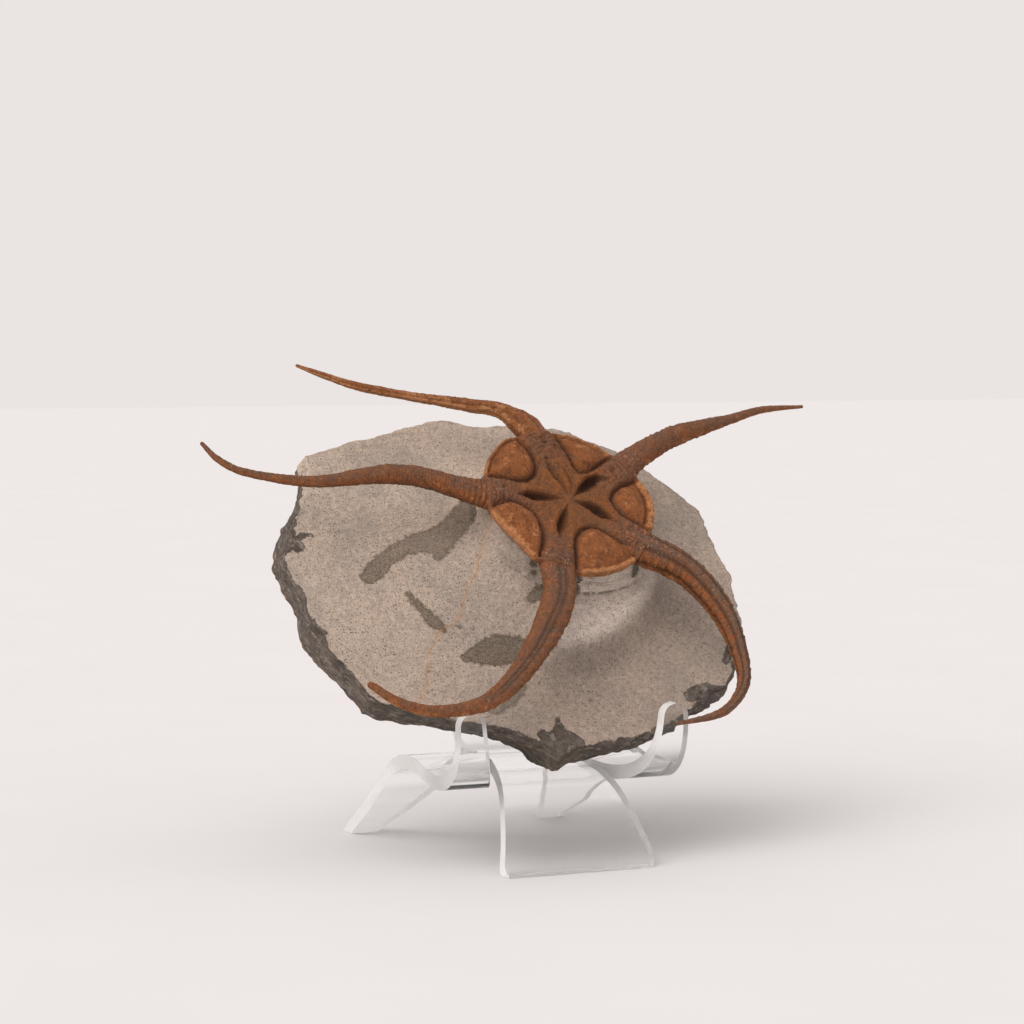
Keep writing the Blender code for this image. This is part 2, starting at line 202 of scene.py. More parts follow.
def read_route(points: Array, route: Route) -> RouteReading:
    """Measure points against a route.

    Args:
        points: Places on the plane, in mm.
        route: Corners of the route; columns after x and y are blended along it.

    Returns:
        Distance to the route, signed offset to its left, the blended columns
        and the share of the route's length at the nearest place.
    """
    rows = np.array(route, dtype=float)
    lengths = path_length(rows[:, :2])
    nearest = np.full(len(points), np.inf)
    offset = np.zeros(len(points))
    share = np.zeros(len(points))
    columns = np.zeros((len(points), rows.shape[1] - 2))
    for index, (start, end) in enumerate(zip(rows, rows[1:])):
        side = end[:2] - start[:2]
        along = np.clip(((points - start[:2]) @ side) / (side @ side), 0.0, 1.0)
        away = points - start[:2] - along[:, None] * side
        distance = np.linalg.norm(away, axis=1)
        closer = distance < nearest
        nearest[closer] = distance[closer]
        cross = (side[0] * away[:, 1] - side[1] * away[:, 0]) / np.linalg.norm(side)
        offset[closer] = cross[closer]
        reached = lengths[index] + along * (lengths[index + 1] - lengths[index])
        share[closer] = reached[closer] / lengths[-1]
        blended = start[2:] + along[:, None] * (end[2:] - start[2:])
        columns[closer] = blended[closer]
    return RouteReading(nearest, offset, columns, share)


def inside_outline(points: Array, corners: Route) -> Array:
    """Whether points of the plane lie inside a closed outline."""
    inside = np.zeros(len(points), dtype=bool)
    ring = np.array(corners, dtype=float)
    for (ax, ay), (bx, by) in zip(ring, np.roll(ring, -1, axis=0)):
        crosses = (ay > points[:, 1]) != (by > points[:, 1])
        height = by - ay if abs(by - ay) > 1e-9 else 1e-9
        reach = (bx - ax) * (points[:, 1] - ay) / height + ax
        inside ^= crosses & (points[:, 0] < reach)
    return inside


def outline_radius(angle: float, corners: Route) -> float:
    """Distance from the origin to a closed outline.

    Args:
        angle: Direction of the ray, in radians.
        corners: Corners of the outline, in mm.

    Returns:
        The distance to the side that the ray meets.
    """
    ray = Vector((math.cos(angle), math.sin(angle)))
    ring = [Vector(corner) for corner in corners]
    for start, end in zip(ring, ring[1:] + ring[:1]):
        side = end - start
        turn = ray.cross(side)
        if abs(turn) < 1e-12:
            continue
        distance = start.cross(side) / turn
        along = start.cross(ray) / turn
        if distance > 0 and -1e-9 <= along <= 1 + 1e-9:
            return distance
    raise ValueError("the outline does not go round the origin")


# --- mesh helpers --------------------------------------------------------------
def into_mesh(name: str, bm: BMesh) -> Mesh:
    """Turn a bmesh into a new mesh and free it."""
    mesh = bpy.data.meshes.new(name)
    bm.to_mesh(mesh)
    bm.free()
    return mesh


def into_scene(name: str, data: bpy.types.ID) -> bpy.types.Object:
    """Make a new object and put it in the scene."""
    made = bpy.data.objects.new(name, data)
    bpy.context.scene.collection.objects.link(made)
    return made


def spun_blank(name: str, rings: int, sides: int) -> Mesh:
    """A closed turned blank of unit size, to be stretched ring by ring.

    Args:
        name: Name of the mesh.
        rings: Number of rings; the first and the last are poles.
        sides: Number of sides.

    Returns:
        The blank, in which ring n lies at height -n.
    """
    bm = bmesh.new()
    last = rings - 1
    line = [bm.verts.new((1.0 if 0 < n < last else 0.0, 0.0, -float(n))) for n in range(rings)]
    edges = [bm.edges.new(pair) for pair in zip(line, line[1:])]
    turned = {"cent": (0.0, 0.0, 0.0), "axis": (0.0, 0.0, 1.0), "angle": math.tau}
    bmesh.ops.spin(bm, geom=line + edges, steps=sides, use_merge=True, **turned)
    bmesh.ops.remove_doubles(bm, verts=bm.verts, dist=MERGE)
    return into_mesh(name, bm)


def coordinates(mesh: Mesh) -> Array:
    """The vertex places of a mesh as an array."""
    flat = np.empty(len(mesh.vertices) * 3)
    mesh.vertices.foreach_get("co", flat)
    return flat.reshape(-1, 3)


def ring_and_angle(mesh: Mesh) -> tuple[Array, Array]:
    """The ring number and the angle, in radians, of each vertex of a blank."""
    places = coordinates(mesh)
    return np.rint(-places[:, 2]).astype(int), np.arctan2(places[:, 1], places[:, 0])


def move_to(mesh: Mesh, places: Array) -> None:
    """Put every vertex at a new place and turn the faces outwards."""
    mesh.vertices.foreach_set("co", places.astype(np.float32).ravel())
    bm = bmesh.new()
    bm.from_mesh(mesh)
    bmesh.ops.recalc_face_normals(bm, faces=bm.faces)
    bm.to_mesh(mesh)
    bm.free()
    mesh.update()


def paint(mesh: Mesh, name: str, values: Array) -> None:
    """Store one number for each vertex under a name that a finish reads."""
    layer = mesh.attributes.new(name, "FLOAT", "POINT")
    layer.data.foreach_set("value", values.astype(np.float32))


def finish_piece(name: str, mesh: Mesh, surface: Material, node: str) -> bpy.types.Object:
    """Make a finished mesh the piece that stands for a CAD node.

    Args:
        name: Name of the piece.
        mesh: Its mesh, already in the row frame.
        surface: Its material.
        node: The CAD node that it stands for.

    Returns:
        The new object.
    """
    mesh.materials.append(surface)
    mesh.shade_smooth()
    piece = into_scene(name, mesh)
    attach(piece, "root")
    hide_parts(node)
    log.info("%s: %d faces for %s", name, len(mesh.polygons), node)
    return piece


@dataclass(frozen=True)
class SlabAxes:
    """The slab's own axes in the row frame."""

    at: Triple = (6.04, 5.98, 67.2)

    def matrix(self) -> Array:
        """Rotation from the slab's axes to the row frame."""
        return np.array(Euler(SLAB_TILT).to_matrix())

    def to_row(self, places: Array) -> Array:
        """Places in the slab's axes, in mm, as row frame places in metres."""
        return (places @ self.matrix().T + np.array(self.at)) * MM


# --- material helpers --------------------------------------------------------
class Bench:
    """Wires the nodes of one tree."""

    def __init__(self, tree: NodeTree) -> None:
        """Take the tree that the nodes go into."""
        self.tree = tree

    def put(self, kind: str, **settings: object) -> Node:
        """Add a node and set its options."""
        node = self.tree.nodes.new(kind)
        for name, value in settings.items():
            setattr(node, name, value)
        return node

    def feed(self, socket: Socket, value: object) -> None:
        """Link a socket to another one, or give it a value."""
        if isinstance(value, Socket):
            self.tree.links.new(value, socket)
        else:
            socket.default_value = value

    def math(self, operation: str, first: object, second: object = 0.0, clamp: bool = False) -> Socket:
        """One Math node."""
        node = self.put("ShaderNodeMath", operation=operation, use_clamp=clamp)
        self.feed(node.inputs[0], first)
        self.feed(node.inputs[1], second)
        return node.outputs[0]

    def times(self, first: object, second: object, clamp: bool = False) -> Socket:
        """The product of two numbers."""
        return self.math("MULTIPLY", first, second, clamp)

    def plus(self, first: object, second: object, clamp: bool = False) -> Socket:
        """The sum of two numbers."""
        return self.math("ADD", first, second, clamp)

    def minus(self, first: object, second: object) -> Socket:
        """The difference of two numbers."""
        return self.math("SUBTRACT", first, second)

    def mix(self, share: object, first: object, second: object, blend: str = "MIX") -> Socket:
        """Mix two colours."""
        node = self.put("ShaderNodeMix", data_type="RGBA", blend_type=blend, clamp_factor=True)
        self.feed(node.inputs["Factor"], share)
        self.feed(node.inputs[6], colour(first))
        self.feed(node.inputs[7], colour(second))
        return node.outputs[2]

    def span(self, value: object, low: float, high: float, start: float = 0.0, end: float = 1.0) -> Socket:
        """Smoothly map low to high onto start to end."""
        node = self.put("ShaderNodeMapRange", interpolation_type="SMOOTHSTEP")
        for socket, number in zip(node.inputs[:5], (value, low, high, start, end)):
            self.feed(socket, number)
        return node.outputs[0]

    def noise(self, place: object, scale: object, detail: float = 3.0, rough: float = 0.55) -> Socket:
        """Noise of 0 to 1, mostly 0.35 to 0.65."""
        node = self.put("ShaderNodeTexNoise")
        self.feed(node.inputs["Vector"], place)
        self.feed(node.inputs["Scale"], scale)
        self.feed(node.inputs["Detail"], detail)
        self.feed(node.inputs["Roughness"], rough)
        return node.outputs[0]

    def swing(self, place: object, scale: float, detail: float, rough: float) -> Socket:
        """Noise around 0."""
        return self.minus(self.noise(place, scale, detail, rough), 0.5)

    def cells(self, place: object, scale: object) -> Node:
        """Cells, with their distance and colour outputs."""
        node = self.put("ShaderNodeTexVoronoi", feature="F1")
        self.feed(node.inputs["Vector"], place)
        self.feed(node.inputs["Scale"], scale)
        return node

    def painted(self, name: str) -> Socket:
        """A number stored on the piece's vertices."""
        return self.put("ShaderNodeAttribute", attribute_name=name).outputs["Fac"]

    def bump(self, height: object, distance: float, strength: float = 1.0, before: object = None) -> Socket:
        """A Bump node; height 1 stands distance metres proud."""
        node = self.put("ShaderNodeBump")
        self.feed(node.inputs["Height"], height)
        self.feed(node.inputs["Distance"], distance)
        self.feed(node.inputs["Strength"], strength)
        if before is not None:
            self.feed(node.inputs["Normal"], before)
        return node.outputs[0]


def colour(value: object) -> object:
    """A colour triple with its alpha, or a socket as it is."""
    return (*value, 1.0) if isinstance(value, tuple) and len(value) == 3 else value


def millimetres(bench: Bench) -> Socket:
    """Object coordinates in millimetres."""
    place = bench.put("ShaderNodeTexCoord").outputs["Object"]
    mapping = bench.put("ShaderNodeMapping")
    bench.feed(mapping.inputs["Vector"], place)
    mapping.inputs["Scale"].default_value = (1.0 / MM,) * 3
    return mapping.outputs[0]


def grey(bench: Bench, tone: object) -> Socket:
    """A grey whose brightness is the tone."""
    node = bench.put("ShaderNodeCombineColor")
    for socket in node.inputs:
        bench.feed(socket, tone)
    return node.outputs[0]


def shifted(bench: Bench, place: object, shift: float) -> Socket:
    """The same place moved, so that another layer of flecks differs."""
    node = bench.put("ShaderNodeVectorMath", operation="ADD")
    bench.feed(node.inputs[0], place)
    node.inputs[1].default_value = (shift, shift * 0.7, shift * 1.3)
    return node.outputs[0]


def new_group(
    name: str, inputs: dict[str, float | None], outputs: Sequence[str]
) -> tuple[NodeTree, Bench, Node, Node]:
    """Start a shader node group.

    Args:
        name: Name of the group.
        inputs: Default of each numeric input by name, or None for a place.
        outputs: Names of the numeric outputs.

    Returns:
        The group, its bench, its input node and its output node.
    """
    group = bpy.data.node_groups.new(name, "ShaderNodeTree")
    for label, default in inputs.items():
        kind = "NodeSocketVector" if default is None else "NodeSocketFloat"
        socket = group.interface.new_socket(name=label, in_out="INPUT", socket_type=kind)
        if default is not None:
            socket.default_value = default
    for label in outputs:
        group.interface.new_socket(name=label, in_out="OUTPUT", socket_type="NodeSocketFloat")
    bench = Bench(group)
    return group, bench, bench.put("NodeGroupInput"), bench.put("NodeGroupOutput")


class StoneGroups:
    """Node groups that the rock and the fossil share, built once."""

    def __init__(self) -> None:
        """Build both groups."""
        self.grain = self._grain()
        self.flecks = self._flecks()

    @staticmethod
    def _grain() -> NodeTree:
        """Mineral grain: a tone around 1, fine pits and a relief for bump."""
        group, bench, ins, outs = new_group(
            "mineral_grain", {"Place": None, "Size": 0.3, "Contrast": 0.2}, ("Tone", "Pits", "Relief")
        )
        place, size, contrast = ins.outputs[:3]
        fine_scale = bench.math("DIVIDE", 1.0, size)
        coarse_scale = bench.math("DIVIDE", 0.28, size)
        fine = bench.noise(place, fine_scale, 3.0, 0.7)
        coarse = bench.noise(place, coarse_scale, 3.0, 0.6)
        both = bench.plus(bench.times(fine, 0.7), bench.times(coarse, 0.5))
        centred = bench.minus(both, 0.6)
        swing = bench.times(bench.times(centred, contrast), 4.0)
        bench.feed(outs.inputs["Tone"], bench.plus(1.0, swing))
        pits = bench.cells(place, bench.math("DIVIDE", 0.6, size))
        chosen = bench.math("GREATER_THAN", pits.outputs["Color"], 0.62)
        hole = bench.span(pits.outputs["Distance"], 0.10, 0.34, 1.0, 0.0)
        pit_mask = bench.times(hole, chosen)
        bench.feed(outs.inputs["Pits"], pit_mask)
        bench.feed(outs.inputs["Relief"], bench.minus(both, bench.times(pit_mask, 0.6)))
        return group

    @staticmethod
    def _flecks() -> NodeTree:
        """Scattered flecks: a mask with irregular dots of one size."""
        group, bench, ins, outs = new_group(
            "scattered_flecks", {"Place": None, "Size": 0.4, "Share": 0.1}, ("Mask",)
        )
        place, size, share = ins.outputs[:3]
        scale = bench.math("DIVIDE", 0.55, size)
        cells = bench.cells(place, scale)
        chosen = bench.math("LESS_THAN", cells.outputs["Color"], share)
        ragged = bench.noise(place, bench.math("DIVIDE", 2.2, size), 2.0, 0.6)
        reach = bench.plus(cells.outputs["Distance"], bench.times(bench.minus(ragged, 0.5), 0.5))
        dot = bench.span(reach, 0.18, 0.38, 1.0, 0.0)
        bench.feed(outs.inputs["Mask"], bench.times(dot, chosen))
        return group

    def grain_in(self, bench: Bench, place: object, size: float, contrast: float) -> Node:
        """Place the grain group in a material."""
        node = bench.put("ShaderNodeGroup", node_tree=self.grain)
        for socket, value in zip(node.inputs, (place, size, contrast)):
            bench.feed(socket, value)
        return node

    def grained(
        self, bench: Bench, place: object, base: object, size: float, contrast: float
    ) -> tuple[object, object]:
        """Lay the mineral grain over a colour.

        Args:
            bench: The tree to wire.
            place: Coordinates in millimetres.
            base: The colour.
            size: Size of the grain, in mm.
            contrast: Strength of the grain.

        Returns:
            The grained colour and the group's node, for its other outputs.
        """
        grain = self.grain_in(bench, place, size, contrast)
        return bench.mix(1.0, base, grey(bench, grain.outputs["Tone"]), "MULTIPLY"), grain

    def flecks_in(self, bench: Bench, place: object, size: float, share: float) -> Socket:
        """Place the flecks group in a material."""
        node = bench.put("ShaderNodeGroup", node_tree=self.flecks)
        for socket, value in zip(node.inputs, (place, size, share)):
            bench.feed(socket, value)
        return node.outputs[0]


def new_surface(name: str) -> tuple[Material, Bench, Node]:
    """Start a material.

    Args:
        name: Name of the material.

    Returns:
        The material, its bench and its Principled BSDF.
    """
    surface = bpy.data.materials.new(name)
    surface.use_nodes = True
    return surface, Bench(surface.node_tree), surface.node_tree.nodes["Principled BSDF"]


@dataclass(frozen=True)
class RockFinish:
    """Sanded grey-beige mudstone with dark chipped edges, stains and a rusty vein."""

    sanded: Triple = (0.405, 0.324, 0.259)
    sanded_grey: Triple = (0.346, 0.289, 0.239)
    # Colour of the painted shade, towards the lower right and in the valley under the star.
    shaded: Triple = (0.225, 0.178, 0.146)
    # Pale neck and shoulder under the star: partly paler sanded rock, partly painted light.
    neck: Triple = (0.610, 0.520, 0.452)
    dark_grain_and_crease_shade: Triple = (0.100, 0.076, 0.060)
    fleck_warm: Triple = (0.40, 0.265, 0.155)
    stain: Triple = (0.092, 0.069, 0.046)
    vein: Triple = (0.37, 0.20, 0.095)
    broken: Triple = (0.084, 0.068, 0.057)
    broken_warm: Triple = (0.112, 0.086, 0.065)
    broken_dust: Triple = (0.185, 0.155, 0.130)
    broken_pale: Triple = (0.300, 0.255, 0.212)
    broken_deep: Triple = (0.045, 0.037, 0.031)
    rust_line: Triple = (0.22, 0.085, 0.035)
    roughness: float = 0.92
    specular: float = 0.25
    # How far the grain and the broken layers stand proud, in metres.
    grain_relief: float = 0.00022
    broken_relief: float = 0.0009

    def build(self, groups: StoneGroups) -> Material:
        """Make the material.

        Args:
            groups: The shared node groups.

        Returns:
            The material, which reads the slab's painted numbers.
        """
        surface, bench, shader = new_surface("matrix_rock")
        place = millimetres(bench)
        base, relief = self._sanded(bench, groups, place)
        base, stained = self._stained(bench, place, base)
        base = self._veined(bench, place, base)
        broken, height, chip = self._broken(bench, groups, place)
        base = bench.mix(chip, base, broken)
        rust = bench.times(bench.painted("rust_line"), bench.span(bench.noise(place, 0.5, 3.0), 0.40, 0.62))
        base = bench.mix(rust, base, self.rust_line)
        bench.feed(shader.inputs["Base Color"], base)
        bench.feed(shader.inputs["Roughness"], bench.plus(self.roughness, bench.times(stained, -0.10)))
        shader.inputs["Specular IOR Level"].default_value = self.specular
        soft = bench.bump(relief, self.grain_relief)
        rough = bench.bump(bench.times(height, chip), self.broken_relief, 0.9, soft)
        bench.feed(shader.inputs["Normal"], rough)
        return surface

    def _sanded(self, bench: Bench, groups: StoneGroups, place: object) -> tuple[object, object]:
        """Colour and relief of the sanded face: fine salt-and-pepper grain with warm flecks, painted shade
        and painted light.
        """
        drift = bench.noise(place, 0.075, 4.0, 0.55)
        base = bench.mix(bench.span(drift, 0.38, 0.62), self.sanded, self.sanded_grey)
        # Painted shade: the painted shade number, stirred by the drift, darkens the face.
        shade = bench.plus(bench.painted("shade"), bench.times(bench.minus(drift, 0.5), 0.5), clamp=True)
        base = bench.mix(shade, base, self.shaded)
        # Painted light, partly paler rock: the neck and the shoulder below it are made paler.
        base = bench.mix(bench.times(bench.painted("neck"), 0.9), base, self.neck)
        base, fine = groups.grained(bench, place, base, 0.33, 0.42)
        warm = groups.flecks_in(bench, place, 0.42, 0.40)
        base = bench.mix(bench.times(warm, 0.28), base, self.fleck_warm)
        wide = bench.span(bench.noise(shifted(bench, place, 23.0), 0.11, 3.0), 0.36, 0.64, 0.35, 1.0)
        specks = bench.times(groups.flecks_in(bench, shifted(bench, place, 71.0), 0.28, 0.30), wide)
        dots = bench.times(groups.flecks_in(bench, shifted(bench, place, 11.0), 0.17, 0.44), 0.6)
        grains_and_crease_shade = bench.times(bench.math("MAXIMUM", specks, dots), 0.82)
        grains_and_crease_shade = bench.math("MAXIMUM", bench.times(fine.outputs["Pits"], 0.3), grains_and_crease_shade)
        scores = bench.times(self._scores(bench, place), bench.painted("scored"))
        # Painted shade: a thin dark line in the crease at the foot of the neck, laid with the dark grain.
        crease = bench.span(bench.noise(place, 0.8, 3.0, 0.7), 0.36, 0.52)
        crease = bench.times(crease, bench.painted("crease"))
        scores = bench.math("MAXIMUM", scores, bench.times(crease, 1.8))
        grains_and_crease_shade = bench.math("MAXIMUM", grains_and_crease_shade, bench.times(scores, 0.45))
        base = bench.mix(grains_and_crease_shade, base, self.dark_grain_and_crease_shade)
        relief = bench.minus(fine.outputs["Relief"], bench.times(grains_and_crease_shade, 0.6))
        return base, relief

    def _scores(self, bench: Bench, place: object) -> Socket:
        """Fine tool scores that run round the neck."""
        return bench.span(bench.noise(self._bedded(bench, place, 0.10), 1.9, 3.0, 0.6), 0.50, 0.62)

    @staticmethod
    def _bedded(bench: Bench, place: object, flatness: float) -> Socket:
        """Places turned to the slab's own axes and squeezed along its layers."""
        turned = bench.put("ShaderNodeMapping")
        bench.feed(turned.inputs["Vector"], place)
        turned.vector_type = "TEXTURE"
        turned.inputs["Rotation"].default_value = SLAB_TILT
        turned.inputs["Scale"].default_value = (1.0 / flatness, 1.0 / flatness, 1.0)
        return turned.outputs[0]

    def _stained(self, bench: Bench, place: object, base: object) -> tuple[object, object]:
        """Lay the speckled stains over the sanded face."""
        depth = bench.painted("stain")
        ragged = bench.swing(place, 0.8, 4.0, 0.65)
        depth = bench.plus(depth, bench.times(ragged, 2.6))
        mask = bench.span(depth, -0.30, 0.50)
        strength = bench.painted("stain_tone")
        speckle = bench.noise(place, 3.4, 3.0, 0.75)
        patchy = bench.span(speckle, 0.36, 0.62, 0.62, 1.10)
        border = bench.times(bench.span(depth, 0.0, 0.3), bench.span(depth, 0.4, 1.0, 1.0, 0.0))
        amount = bench.plus(bench.times(strength, patchy), bench.times(border, 0.12))
        share = bench.times(mask, amount, clamp=True)
        return bench.mix(share, base, self.stain), share

    def _veined(self, bench: Bench, place: object, base: object) -> object:
        """Draw the thin rusty vein."""
        offset = bench.painted("vein_offset")
        wander = bench.swing(place, 0.45, 4.0, 0.6)
        away = bench.math("ABSOLUTE", bench.plus(offset, bench.times(wander, 2.2)))
        line = bench.span(away, 0.04, 0.30, 1.0, 0.0)
        halo = bench.times(bench.span(away, 0.1, 1.2, 1.0, 0.0), 0.14)
        gaps = bench.span(bench.noise(place, 0.7, 3.0, 0.6), 0.40, 0.56, 0.0, 0.62)
        share = bench.plus(bench.times(line, gaps), halo)
        return bench.mix(bench.times(share, bench.painted("vein")), base, self.vein)

    def _broken(self, bench: Bench, groups: StoneGroups, place: object) -> tuple[object, object, object]:
        """Fresh dark fracture of the edges and the back: colour, relief and mask."""
        ragged = bench.swing(place, 0.9, 5.0, 0.7)
        depth = bench.plus(bench.painted("chip"), bench.times(ragged, 1.8))
        mask = bench.span(depth, -0.10, 0.16)
        layers = self._bedded(bench, place, 0.30)
        layered = bench.noise(layers, 0.9, 6.0, 0.75)
        warm = bench.span(bench.noise(place, 0.16, 4.0, 0.6), 0.44, 0.66)
        tint = bench.mix(warm, self.broken, self.broken_warm)
        dusty = bench.span(layered, 0.42, 0.66)
        tint = bench.mix(bench.times(dusty, 0.75), tint, self.broken_dust)
        threads = bench.noise(self._bedded(bench, place, 0.22), 2.1, 4.0, 0.7)
        tint = bench.mix(bench.span(threads, 0.52, 0.66, 0.0, 0.75), tint, self.broken_pale)
        deep = bench.span(bench.noise(layers, 1.5, 4.0, 0.7), 0.30, 0.44, 0.7, 0.0)
        tint = bench.mix(deep, tint, self.broken_deep)
        tint, _ = groups.grained(bench, place, tint, 0.5, 0.3)
        return tint, layered, mask


@dataclass(frozen=True)
class FossilFinish:
    """Iron-stained fossil: grey-brown to orange by warmth, with painted shade in its hollows."""

    grey_brown: Triple = (0.160, 0.097, 0.065)
    red_brown: Triple = (0.200, 0.086, 0.042)
    orange_brown: Triple = (0.285, 0.094, 0.026)
    orange: Triple = (0.480, 0.205, 0.080)
    ochre: Triple = (0.185, 0.072, 0.020)
    # Colour of the painted shade in the pits, grooves, moats and creases.
    hollow: Triple = (0.034, 0.012, 0.005)
    dust: Triple = (0.34, 0.235, 0.180)
    # Colour of the painted glints.
    glint: Triple = (0.62, 0.50, 0.42)
    fresh_red: Triple = (0.34, 0.075, 0.020)
    specular: float = 0.22
    # How far the grain stands proud, in metres.
    relief: float = 0.00055

    def build(self, groups: StoneGroups) -> Material:
        """Make the material.

        Args:
            groups: The shared node groups.

        Returns:
            The material, which reads the star's painted numbers.
        """
        surface, bench, shader = new_surface("fossil_orange_brown")
        place = millimetres(bench)
        mottle = bench.swing(place, 0.45, 5.0, 0.62)
        mottle_fine = bench.swing(place, 1.9, 4.0, 0.72)
        base, warmth = self._ground(bench, mottle, mottle_fine)
        base, grain = groups.grained(bench, place, base, 0.34, 0.30)
        drifts = bench.span(mottle, -0.12, 0.12, 0.2, 1.0)
        dust = bench.times(bench.span(mottle_fine, 0.02, 0.17), bench.painted("dust"))
        dust = bench.times(dust, drifts)
        base = bench.mix(dust, base, self.dust)
        uneven = bench.span(mottle_fine, -0.35, 0.15, 0.7, 1.05)
        # Painted shade in the hollows, uneven in strength, joined by the grain's dark pits.
        dark = bench.times(bench.painted("cavity_shade"), uneven, clamp=True)
        dark = bench.math("MAXIMUM", dark, bench.times(grain.outputs["Pits"], 0.45))
        base = bench.mix(dark, base, self.hollow)
        fresh = bench.times(groups.flecks_in(bench, place, 1.0, 0.42), bench.painted("fresh"))
        base = bench.mix(fresh, base, self.fresh_red)
        # Painted glints: small pale specks, also a little glossier.
        sparks = groups.flecks_in(bench, shifted(bench, place, 31.0), 0.40, 0.36)
        glint = bench.times(sparks, bench.painted("glint"))
        base = bench.mix(glint, base, self.glint)
        bench.feed(shader.inputs["Base Color"], base)
        gloss = bench.times(bench.plus(glint, fresh), -0.35)
        bench.feed(shader.inputs["Roughness"], bench.plus(bench.span(warmth, 0.2, 0.9, 0.74, 0.66), gloss))
        shader.inputs["Specular IOR Level"].default_value = self.specular
        relief = bench.plus(grain.outputs["Relief"], bench.times(mottle_fine, 1.3))
        bench.feed(shader.inputs["Normal"], bench.bump(relief, self.relief))
        return surface

    def _ground(self, bench: Bench, mottle: object, mottle_fine: object) -> tuple[object, object]:
        """Ground colour by the painted warmth, mottled at two scales."""
        swing = bench.plus(bench.times(mottle, 1.05), bench.times(mottle_fine, 1.05))
        warmth = bench.plus(bench.painted("warmth"), swing, clamp=True)
        base = bench.mix(bench.span(warmth, 0.0, 0.36), self.grey_brown, self.red_brown)
        base = bench.mix(bench.span(warmth, 0.34, 0.72), base, self.orange_brown)
        base = bench.mix(bench.span(warmth, 0.74, 1.0), base, self.orange)
        return bench.mix(bench.times(bench.painted("ochre"), 0.8), base, self.ochre), warmth


@dataclass(frozen=True)
class AcrylicFinish:
    """Clear bent sheet: polished faces with a faint haze of wear, and milky cut edges."""

    ior: float = 1.30
    edge_ior: float = 1.30
    roughness: float = 0.02
    edge_tint: Triple = (0.99, 0.98, 0.97)
    edge_clearness: float = 0.58
    edge_roughness: float = 0.40
    # How much the haze and the saw strokes roughen the sheet, and how dark the strokes are.
    haze: float = 0.07
    stroke_roughness: float = 0.05
    stroke_tone: float = 0.93

    def build(self) -> Material:
        """Make the material of the faces."""
        surface, bench, shader = new_surface("clear_acrylic")
        shader.inputs["Base Color"].default_value = (1.0, 1.0, 1.0, 1.0)
        shader.inputs["Transmission Weight"].default_value = 1.0
        shader.inputs["IOR"].default_value = self.ior
        place = millimetres(bench)
        haze = bench.span(bench.noise(place, 0.22, 4.0, 0.6), 0.45, 0.7, 0.0, self.haze)
        bench.feed(shader.inputs["Roughness"], bench.plus(self.roughness, haze))
        return surface

    def build_edge(self) -> Material:
        """Make the material of the saw-cut edges, which scatter light."""
        surface, bench, shader = new_surface("clear_acrylic_cut_edge")
        place = millimetres(bench)
        strokes = bench.span(bench.noise(place, 1.4, 3.0, 0.6), 0.4, 0.65)
        darker = tuple(self.stroke_tone * part for part in self.edge_tint)
        bench.feed(shader.inputs["Base Color"], bench.mix(strokes, self.edge_tint, darker))
        shader.inputs["Transmission Weight"].default_value = self.edge_clearness
        shader.inputs["IOR"].default_value = self.edge_ior
        rough = bench.times(strokes, self.stroke_roughness)
        bench.feed(shader.inputs["Roughness"], bench.plus(self.edge_roughness, rough))
        return surface


@dataclass(frozen=True)
class FloorFinish:
    """Pale matt studio paper."""

    tint: Triple = (0.682, 0.674, 0.672)
    fibre_tone: float = 0.985
    roughness: float = 0.9

    def build(self) -> Material:
        """Make the material."""
        surface, bench, shader = new_surface("studio_paper")
        place = millimetres(bench)
        fibre = bench.span(bench.noise(place, 0.02, 3.0), 0.3, 0.7)
        darker = tuple(self.fibre_tone * part for part in self.tint)
        bench.feed(shader.inputs["Base Color"], bench.mix(fibre, self.tint, darker))
        shader.inputs["Roughness"].default_value = self.roughness
        shader.inputs["Specular IOR Level"].default_value = 0.0
        return surface


